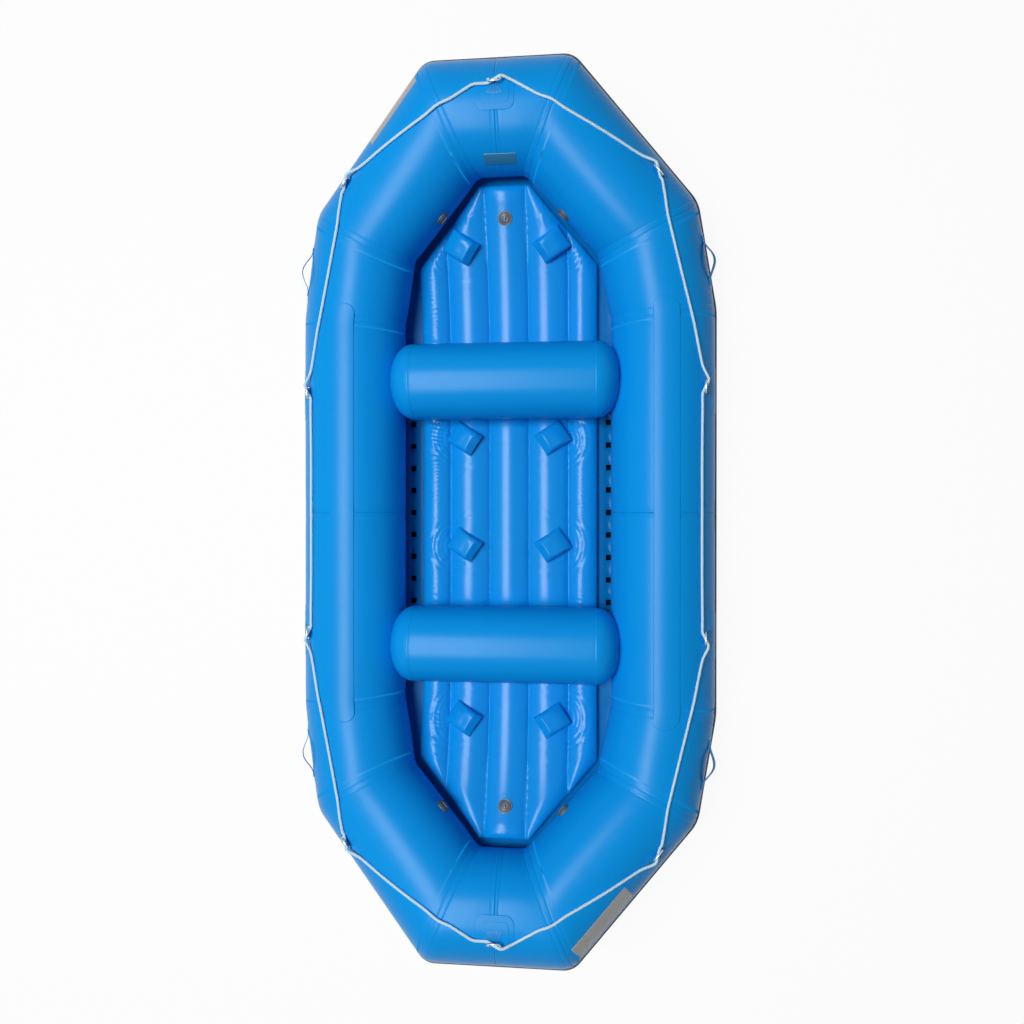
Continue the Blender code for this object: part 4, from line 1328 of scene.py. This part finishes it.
class RAFT_OT_ring_patches(bpy.types.Operator):
    """Builds each ring's glued patch and the gathered tab that holds its bar"""

    bl_idname = "raft.ring_patches"
    bl_label = "Ring patches"

    # Patch centre as a facet, half width and half length, then the slit's facet and half length.
    forms = {
        SIDE: (4.05, 0.056, 0.113, 0.042, 4.7, 0.050),
        DIAGONAL: (6.6, 0.026, 0.042, 0.018, 6.4, 0.026),
        END: (13.0, 0.074, 0.080, 0.034, 13.4, 0.040),
    }
    patch_thick, cover_thick, cover_base = 0.0013, 0.0010, 0.0012
    cover_long_share, cover_wide_share, cover_corner_share = 0.74, 0.66, 0.6

    # The tab: its sleeve round the bar, its waist, and its height where it leaves the slit.
    sleeve, sleeve_half, sleeve_turn_share = 0.0058, 0.0215, 0.94
    waist_half, tab_base, tab_lap = 0.014, 0.0026, 0.0030
    tab_thick, tab_length = 0.0013, 0.12
    tab_columns, tab_rows, sleeve_rows = 33, 15, 16

    # The tab's form: powers of its taper and rise, the curve of its slit, its pleats and its sunk root.
    taper_power, rise_power, slit_curve = 1.8, 2.2, 0.35
    widen_from, widen_over = 0.45, 0.5
    pleat_high, pleats, edge_droop = 0.0010, 5, 0.0015
    root_deep, root_share = 0.0032, 0.08

    def execute(self, context):
        for name, (part, along, _, signs) in RINGS.items():
            facet, half_wide, half_long, corner, _, _ = self.forms[part]
            at = (part, along, facet * column)
            size = (half_long, half_wide, corner, self.patch_thick)
            node = "ring_patch_" + name
            skin_patch("patch_" + name, at, size, "pad_skin", signs, stands_for=[node])
            if part != DIAGONAL:
                size = (
                    half_long * self.cover_long_share,
                    half_wide * self.cover_wide_share,
                    corner * self.cover_corner_share,
                    self.cover_thick,
                )
                skin_patch(
                    "patch_cover_" + name, at, size, "pad_skin", signs, base=self.cover_base
                )
            self.tab(name)
        return {"FINISHED"}

    def tab(self, name):
        """A pleated tab that fans out of a slit, narrows, and turns round the ring's bar."""
        part, along, facet, signs = RINGS[name]
        *_, slit_facet, slit_half = self.forms[part]
        upward = 1 if slit_facet < facet else -1
        across = np.linspace(-1, 1, self.tab_columns)
        bar_height = ring_height + apothem - skin_radius
        climb_to_bar = bar_height - self.sleeve + self.tab_lap - self.tab_base
        rows = []
        for t in np.linspace(0, 1, self.tab_rows):
            waist = self.waist_half + (slit_half - self.waist_half) * (1 - t) ** self.taper_power
            width = waist + (self.sleeve_half - waist) * float(ease((t - self.widen_from) / self.widen_over))
            curve = self.slit_curve * (1 - t) * (1 - across**2) * upward
            angle = (slit_facet + (facet - slit_facet) * t - curve) * column
            pleat = self.pleat_high * np.cos(across * math.pi * self.pleats)
            height = self.tab_base + climb_to_bar * t**self.rise_power
            height = height + pleat * math.sin(math.pi * min(1.0, t * 1.15))
            root = self.root_deep * (1 - min(1.0, t / self.root_share))
            height = height - root - self.edge_droop * np.abs(across) ** 6
            rows.append(on_skin(part, along + width * across, angle, height))
        centre, bar, _, off, climb, _ = ring_axes(name, (1, 1))
        start = -math.pi / 2
        turns = []
        for swing in np.linspace(start, start + 2 * math.pi * self.sleeve_turn_share, self.sleeve_rows):
            ring = centre + (climb * upward * math.cos(swing) + off * math.sin(swing)) * self.sleeve
            turns.append(ring + bar * (self.sleeve_half * across)[:, None])
        points = np.array(rows[:-1] + turns)
        run = np.linspace(0, self.tab_length, len(points))
        lengths = np.stack(np.broadcast_arrays(run[:, None], (across * self.sleeve_half)[None, :]), -1)
        faces = grid_faces(*points.shape[:2])
        points = mirrored(points, *signs)
        made = new_piece("tab_" + name, points, faces, "webbing", lengths=lengths)
        thicken(made, self.tab_thick)


class RAFT_OT_handles(bpy.types.Operator):
    """Builds the four grab straps, their glued ends and their stitching"""

    bl_idname = "raft.handles"
    bl_label = "Grab handles"

    half, thick, base = 0.105, 0.0026, 0.0018
    arch_high, arch_share, arch_power, arch_steps = 0.034, 0.82, 1.7, 57
    angle = 3.5 * column
    half_wide = column * skin_radius

    # The strap's section: shares of its half width, and of its thickness at its upper face.
    across = np.array([-1, -0.97, -0.9, -0.5, 0, 0.5, 0.9, 0.97, 1])
    rim = np.array([0.5, 0.8, 1, 1, 1, 1, 1, 0.8, 0.5])

    # The glued seat under each end, and the stitched rows across it.
    seat_at, seat_size = 0.092, (0.032, half_wide + 0.008, 0.010, 0.0012)
    stitches_at, stitch_rows = 0.089, (-0.0145, -0.0100, 0.0085, 0.0130)
    stitch_shares = np.linspace(-0.84, 0.84, 11)
    stitch_ends, stitch_lifts = (-0.0013, -0.0008, 0.0008, 0.0013), (-0.0003, 0.0005, 0.0005, -0.0003)
    thread_radius, thread_sides = 0.0006, 6

    def execute(self, context):
        middle = run_lengths[SHOULDER] / 2
        share = np.linspace(-1, 1, self.arch_steps)
        bow = np.cos(math.pi / 2 * np.clip(np.abs(share) / self.arch_share, 0, 1)) ** self.arch_power
        under = (self.arch_high * bow + self.base)[:, None]
        along, v = np.meshgrid(middle + self.half * share, self.across * self.half_wide, indexing="ij")
        angle = self.angle + v / skin_radius
        upper = on_skin(SHOULDER, along, angle, under + self.thick * self.rim)
        lower = on_skin(SHOULDER, along, angle, under + self.thick * (1 - self.rim))
        points = np.concatenate([upper, lower[:, ::-1]], 1)
        lengths = np.stack([np.hstack([along, along]), np.hstack([v, v[:, ::-1]])], -1)
        faces = grid_faces(*lengths.shape[:2], round_columns=True, capped=True)
        for place, signs in QUARTERS.items():
            placed, node = mirrored(points, *signs), "handle_" + place
            new_piece(
                "strap_" + place, placed, faces, "webbing", stands_for=[node], lengths=lengths
            )
            for end, sign in (("aft", -1), ("fore", 1)):
                at = (SHOULDER, middle + sign * self.seat_at, self.angle)
                skin_patch(f"strap_seat_{place}_{end}", at, self.seat_size, "pad_skin", signs)
                self.stitches(f"stitches_{place}_{end}", signs, middle + sign * self.stitches_at)
        return {"FINISHED"}

    def stitches(self, name, signs, middle):
        """Two pairs of stitched rows across a strap's end, as one piece."""
        all_points, all_faces = [], []
        height = self.base + self.thick + np.array(self.stitch_lifts)
        for row in self.stitch_rows:
            for share in self.stitch_shares:
                v = share * self.half_wide + np.array(self.stitch_ends)
                path = on_skin(SHOULDER, np.full(len(v), middle + row), self.angle + v / skin_radius, height)
                points, _, faces = wire_mesh(path, self.thread_radius, self.thread_sides, closed=False)
                start = sum(len(p) for p in all_points)
                all_points.append(points.reshape(-1, 3))
                all_faces += [tuple(i + start for i in face) for face in faces]
        points = mirrored(np.concatenate(all_points), *signs)
        new_piece(name, points, all_faces, "stitch", lengths=points[:, :2])


class RAFT_OT_rope(bpy.types.Operator):
    """Builds the braided perimeter line along its laced route"""

    bl_idname = "raft.rope"
    bl_label = "Perimeter line"

    line_radius, line_rest, line_lead = 0.0061, 0.0064, 0.085
    point_pitch, bend_steps, sides = 0.006, 6, 14

    # How far each part of the route past a ring climbs from the bar's place and stands off the skin.
    under_ring, through_middle, over_ring = (0.0210, 0.0078), (0.0142, 0.0190), (0.0068, 0.0298)
    lead_lift, ring_clearance = 0.002, 0.0105

    # Inside a ring the line turns short, and elsewhere it eases over a longer bend.
    ring_cut, open_cut, ring_near = 0.004, 0.022, 0.05

    # The facet that the line crosses at each place on its way.
    facets = {
        "side": 8.9,
        "first bend": 11.7,
        "second bend": 12.9,
        "quarter": 8.9,
        "last bend": 15.0,
        "end": 11.9,
    }

    def through_ring(self, name):
        """The route under a ring's near arm, up through its middle and over its far arm."""
        _, bar, _, off, climb, skin = ring_axes(name, (1, 1))
        under, middle, over = (
            climb * up + off * out for up, out in (self.under_ring, self.through_middle, self.over_ring)
        )
        rest = climb * self.under_ring[0] + off * (self.line_rest + self.lead_lift)
        clear, arm = ring_half + self.ring_clearance, ring_half - ring_wire
        return [
            skin - bar * self.line_lead + rest,
            skin - bar * clear + under,
            skin - bar * arm + under,
            skin + middle,
            skin + bar * arm + over,
            skin + bar * clear + over - off * ring_wire,
            skin + bar * self.line_lead + rest,
        ]

    def on_tube(self, part, along, facet):
        height = tube_radius + self.line_rest - skin_radius
        return on_skin(part, along, facet * column, height)

    def at_bend(self, part, facet):
        """Where the line crosses the mitre after a run."""
        reach = tube_radius + self.line_rest
        angle = np.asarray(facet * column)
        slide = runs[part] * mitre_slide(part, angle, reach)
        return corners[part + 1] + normal_at(part, angle) * reach + slide

    def drift(self, part, first, last, steps, from_facet, to_facet):
        """Points between two shares of a run, going evenly from one facet to another."""
        points = []
        for i in range(steps):
            share = first + (last - first) * (i + 1) / (steps + 1)
            facet = from_facet + (to_facet - from_facet) * (share - first) / (last - first)
            points.append(self.on_tube(part, run_lengths[part] * share, facet))
        return points

    def quarter_route(self):
        """The line's route from the middle of the port side to the bow ring."""
        facets = self.facets
        past_ring = (side_ring_s + self.line_lead) / run_lengths[SIDE]
        line = [self.on_tube(SIDE, 0.0, facets["side"]), self.on_tube(SIDE, side_ring_s / 2, facets["side"])]
        line += self.through_ring("side_bow_port")
        line += self.drift(SIDE, past_ring, 1.0, 3, facets["side"], facets["first bend"])
        line.append(self.at_bend(SIDE, facets["first bend"]))
        line += self.drift(SHOULDER, 0.0, 1.0, 2, facets["first bend"], facets["second bend"])
        line.append(self.at_bend(SHOULDER, facets["second bend"]))
        before_ring = (quarter_ring_s - ring_half - self.ring_clearance) / run_lengths[DIAGONAL]
        line += self.drift(DIAGONAL, 0.0, before_ring, 4, facets["second bend"], facets["quarter"])
        line += self.through_ring("quarter_bow_port")[1:]
        past_ring = (quarter_ring_s + self.line_lead) / run_lengths[DIAGONAL]
        line += self.drift(DIAGONAL, past_ring, 1.0, 7, facets["quarter"], facets["last bend"])
        line.append(self.at_bend(DIAGONAL, facets["last bend"]))
        before_ring = 1.0 - self.line_lead / run_lengths[END]
        line += self.drift(END, 0.0, before_ring, 3, facets["last bend"], facets["end"])
        return np.array(line)

    def execute(self, context):
        line = self.quarter_route()
        bow = np.array(self.through_ring("bow"))
        loop = [line, bow, mirrored(line[::-1], -1, 1)[:-1], mirrored(line, -1, -1)]
        loop += [mirrored(bow[::-1], 1, -1), mirrored(line[::-1], 1, -1)[:-1]]
        loop = np.concatenate(loop)
        rings = np.array([ring_axes(name)[0] for name in RINGS])
        from_ring = np.min(np.linalg.norm(loop[:, None] - rings[None], axis=-1), axis=1)
        cuts = np.where(from_ring < self.ring_near, self.ring_cut, self.open_cut)
        path = self.evenly(softened(loop, cuts, self.bend_steps))
        points, lengths, faces = wire_mesh(path, self.line_radius, self.sides)
        new_piece("rope_loop", points, faces, "line", stands_for=["perimeter_line"], lengths=lengths)
        return {"FINISHED"}

    def evenly(self, path):
        """Points one pitch apart along a closed path."""
        closed = np.vstack([path, path[:1]])
        run = run_along(closed)
        marks = np.arange(0, run[-1] - self.point_pitch / 2, self.point_pitch)
        return np.column_stack([np.interp(marks, run, closed[:, k]) for k in range(3)])


def turned(profile, steps, matrix):
    """Points of a profile of (radius, height) turned about an axis."""
    profile = np.array(profile, float)
    around = np.linspace(0, 2 * math.pi, steps, endpoint=False)
    local = np.stack(
        [
            profile[:, :1] * np.cos(around),
            profile[:, :1] * np.sin(around),
            np.broadcast_to(profile[:, 1:], (len(profile), steps)),
        ],
        -1,
    )
    return moved(local, matrix)


class RAFT_OT_valves(bpy.types.Operator):
    """Builds the six valves and the caps that turn in them"""

    bl_idname = "raft.valves"
    bl_label = "Valves"

    column_at, from_bend = 30, 0.300
    floor_y = 1.31
    around = 48

    # Sections as radius and height: the body from its well over its rim and flange, and the cap.
    body = (
        *((0.0, 0.0026), (0.0200, 0.0026), (0.0204, 0.0032), (0.0204, 0.0066), (0.0210, 0.0074)),
        *((0.0226, 0.0074), (0.0236, 0.0068), (0.0240, 0.0056), (0.0252, 0.0040), (0.0264, 0.0036)),
        *((0.0272, 0.0030), (0.0280, 0.0036), (0.0304, 0.0036), (0.0314, 0.0030), (0.0319, 0.0018)),
        *((0.0320, -0.0050), (0.0, -0.0055)),
    )
    cap = (
        *((0.0, 0.0079), (0.0060, 0.0079), (0.0066, 0.0073), (0.0120, 0.0073), (0.0126, 0.0082)),
        *((0.0146, 0.0082), (0.0152, 0.0074), (0.0186, 0.0074), (0.0196, 0.0071), (0.0199, 0.0062)),
        *((0.0199, 0.0030), (0.0, 0.0030)),
    )
    grip_size, grip_round, grip_height = (0.0052, 0.0330, 0.0062), 0.0010, 0.0090
    grip_waist_share, grip_waist_length = 0.35, 0.006

    def execute(self, context):
        out = normal_at(DIAGONAL, self.column_at * column)
        seat = corners[DIAGONAL] + runs[DIAGONAL] * self.from_bend + out * apothem
        for place, signs in QUARTERS.items():
            self.valve(place, *(mirrored(v, *signs) for v in (seat, out, runs[DIAGONAL])))
        for place, side in (("floor_bow", 1), ("floor_stern", -1)):
            y = side * self.floor_y
            ahead = unit(np.array([0.0, 1.0, rocker_slope(y)]))
            centre = np.array([0.0, y, floor_top(y)])
            self.valve(place, centre, np.cross([1.0, 0.0, 0.0], ahead), ahead)
        return {"FINISHED"}

    def valve(self, place, centre, normal, heading):
        side = unit(np.cross(heading, normal))
        matrix = np.eye(4)
        matrix[:3] = np.column_stack([side, np.cross(normal, side), normal, centre])
        points = turned(self.body, self.around, matrix)
        faces = grid_faces(*points.shape[:2], round_columns=True, capped=True)
        node = "valve_" + place
        new_piece("valve_body_" + place, points, faces, "valve", stands_for=[node])
        cap_points = turned(self.cap, self.around, matrix)
        cap_faces = grid_faces(*cap_points.shape[:2], round_columns=True, capped=True)
        grip_points, grip_faces = self.grip()
        points = np.concatenate([cap_points.reshape(-1, 3), moved(grip_points, matrix)])
        start = len(points) - len(grip_points)
        faces = cap_faces + [tuple(i + start for i in face) for face in grip_faces]
        node = "valve_cap_" + place
        new_piece("cap_" + place, points, faces, "valve", node, [node])

    def grip(self):
        """The bar across a cap, rounded and drawn in at its middle."""
        bar = bmesh.new()
        bmesh.ops.create_cube(bar, size=1, matrix=Matrix.Diagonal((*self.grip_size, 1)))
        edges = list(bar.edges)
        bmesh.ops.bevel(bar, geom=edges, offset=self.grip_round, segments=3, affect="EDGES", profile=0.6)
        points = np.array([v.co for v in bar.verts])
        faces = [tuple(v.index for v in f.verts) for f in bar.faces]
        bar.free()
        points[:, 0] *= 1 - self.grip_waist_share * bell(points[:, 1], self.grip_waist_length)
        points[:, 2] += self.grip_height
        return points, faces


class RAFT_OT_plates(bpy.types.Operator):
    """Builds the bare plates on the hull"""

    bl_idname = "raft.plates"
    bl_label = "Bare plates"

    # Run, length along it and angle in degrees, then size, finish and quarter.
    plates = {
        "plate_port_bow": (DIAGONAL, 0.500, 28.0, (0.155, 0.049, 0.004, 0.0008), "plate", (1, 1)),
        "plate_starboard_stern": (DIAGONAL, 0.500, 37.0, (0.160, 0.050, 0.004, 0.0008), "plate", (-1, -1)),
        "plate_info": (END, 0.214, 141.5, (0.068, 0.029, 0.004, 0.0007), "info", (1, 1)),
    }

    def execute(self, context):
        for name, (part, along, degrees, size, finish, signs) in self.plates.items():
            at = (part, along, math.radians(degrees))
            skin_patch(name, at, size, finish, signs, steps=(24, 10))
        return {"FINISHED"}


def facing(look):
    """The turn of a lamp or camera that looks this way, with the bow at the top of its view."""
    look = look.normalized()
    right = look.cross(Vector((0, 1, 0))).normalized()
    up = right.cross(look)
    return Matrix((right, up, -look)).transposed().to_euler()


class RAFT_OT_stage(bpy.types.Operator):
    """Sets the pale floor, the studio lamps and the camera"""

    bl_idname = "raft.stage"
    bl_label = "Stage"

    # The floor is white to the eye but for the shade under the raft, between the foot of its tubes.
    ground_half, ground_glow = 40.0, 0.93
    shade_half, shade_fade, shade_tone = (0.60, 0.86), 0.12, (0.02, 0.03, 0.05)
    sky_light = 0.09

    # Place, size and power of each lamp, and the point that both look at.
    lamp_aim = (0.0, 0.0, 0.2)
    key = (-2.7, 0.3, 8.7), (4.2, 2.4), 695.0
    strip = (-2.3, -0.5, 8.8), (2.8, 9.0), 1850.0

    # The camera, fitted to the outline: its focal length is in pixels of the photograph.
    eye, look = (0.391, 0.016, 3.874), (-0.0998, -0.0036, -0.9950)
    focal_pixels, frame_pixels, sensor_width = 810.0, 1024.0, 36.0

    def execute(self, context):
        self.floor()
        self.sky(context.scene)
        self.lamps()
        self.camera(context.scene)
        return {"FINISHED"}

    def floor(self):
        made = Recipe("stage_floor", (0.86, 0.86, 0.86), roughness=0.9, specular=0.1)
        x, y, _ = made.split(made.place())
        past = (abs(x) - self.shade_half[0]).larger(abs(y) - self.shade_half[1])
        clear = made.ramp(past, 0.0, self.shade_fade)
        made.paint(1.0 - clear, self.shade_tone)
        glow = made.node("ShaderNodeEmission", None, {"Color": (1, 1, 1, 1), "Strength": 1.0})
        plain = Value(made, made.shader.outputs[0])
        share = made.seen() * clear * self.ground_glow
        mixed = made.node("ShaderNodeMixShader", None, {0: share, 1: plain, 2: glow})
        output = made.tree.nodes["Material Output"]
        made.tree.links.new(mixed.socket, output.inputs["Surface"])
        data = bpy.data.meshes.new("ground")
        half = self.ground_half
        rim = [(-half, -half, 0), (half, -half, 0), (half, half, 0), (-half, half, 0)]
        data.from_pydata(rim, [], [(0, 1, 2, 3)])
        data.materials.append(made.material)
        ground = bpy.data.objects.new("ground", data)
        bpy.context.scene.collection.objects.link(ground)

    def sky(self, scene):
        """A white sky to the eye, and a dim one to the raft's surfaces."""
        world = bpy.data.worlds.new("studio")
        world.use_nodes = True
        scene.world = world
        nodes = NodeSet(world.node_tree)
        levels = {"Value": nodes.seen(), "To Min": self.sky_light, "To Max": 1.0}
        level = nodes.node("ShaderNodeMapRange", None, levels)
        background = nodes.tree.nodes["Background"]
        background.inputs["Color"].default_value = (1.0, 1.0, 1.0, 1.0)
        nodes.tree.links.new(level.socket, background.inputs["Strength"])

    def lamp(self, name, at, size, power):
        data = bpy.data.lights.new(name, "AREA")
        data.shape = "RECTANGLE"
        data.size, data.size_y = size
        data.energy = power
        made = bpy.data.objects.new(name, data)
        bpy.context.scene.collection.objects.link(made)
        made.location = at
        made.rotation_euler = facing(Vector(self.lamp_aim) - Vector(at))
        return made

    def lamps(self):
        """The key lights the surfaces, and the strip gives only the long lights along the crests."""
        self.lamp("key", *self.key).visible_glossy = False
        self.lamp("strip", *self.strip).visible_diffuse = False

    def camera(self, scene):
        data = bpy.data.cameras.new("camera")
        data.sensor_width = self.sensor_width
        data.lens = self.focal_pixels / self.frame_pixels * self.sensor_width
        data.clip_end = 100.0
        made = bpy.data.objects.new("camera", data)
        scene.collection.objects.link(made)
        made.location = self.eye
        made.rotation_euler = facing(Vector(self.look))
        scene.camera = made


class RAFT_PT_panel(bpy.types.Panel):
    """Lists the raft's groups of pieces"""

    bl_idname = "RAFT_PT_panel"
    bl_label = "Whitewater Raft"
    bl_space_type = "VIEW_3D"
    bl_region_type = "UI"
    bl_category = "Raft"

    def draw(self, context):
        for name in RaftSettings.__annotations__:
            self.layout.prop(context.scene.raft, name)
        for operator in OPERATORS:
            self.layout.operator(operator.bl_idname)


OPERATORS = (
    RAFT_OT_stage,
    RAFT_OT_tube_skins,
    RAFT_OT_strake,
    RAFT_OT_chafe_pads,
    RAFT_OT_thwarts,
    RAFT_OT_floor,
    RAFT_OT_foot_cups,
    RAFT_OT_ring_patches,
    RAFT_OT_d_rings,
    RAFT_OT_handles,
    RAFT_OT_rope,
    RAFT_OT_valves,
    RAFT_OT_plates,
)
CLASSES = (RaftSettings, *OPERATORS, RAFT_PT_panel)


def register():
    for cls in CLASSES:
        bpy.utils.register_class(cls)
    bpy.types.Scene.raft = bpy.props.PointerProperty(type=RaftSettings)


def unregister():
    del bpy.types.Scene.raft
    for cls in reversed(CLASSES):
        bpy.utils.unregister_class(cls)


def main():
    register()
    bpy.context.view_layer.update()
    scene = bpy.context.scene
    for old in [o for o in scene.objects if o.type in ("CAMERA", "LIGHT") or o.name == "Cube"]:
        bpy.data.objects.remove(old)
    scene.view_settings.view_transform = "Standard"
    for operator in OPERATORS:
        group, name = operator.bl_idname.split(".")
        getattr(getattr(bpy.ops, group), name)()


if __name__ == "__main__":
    main()
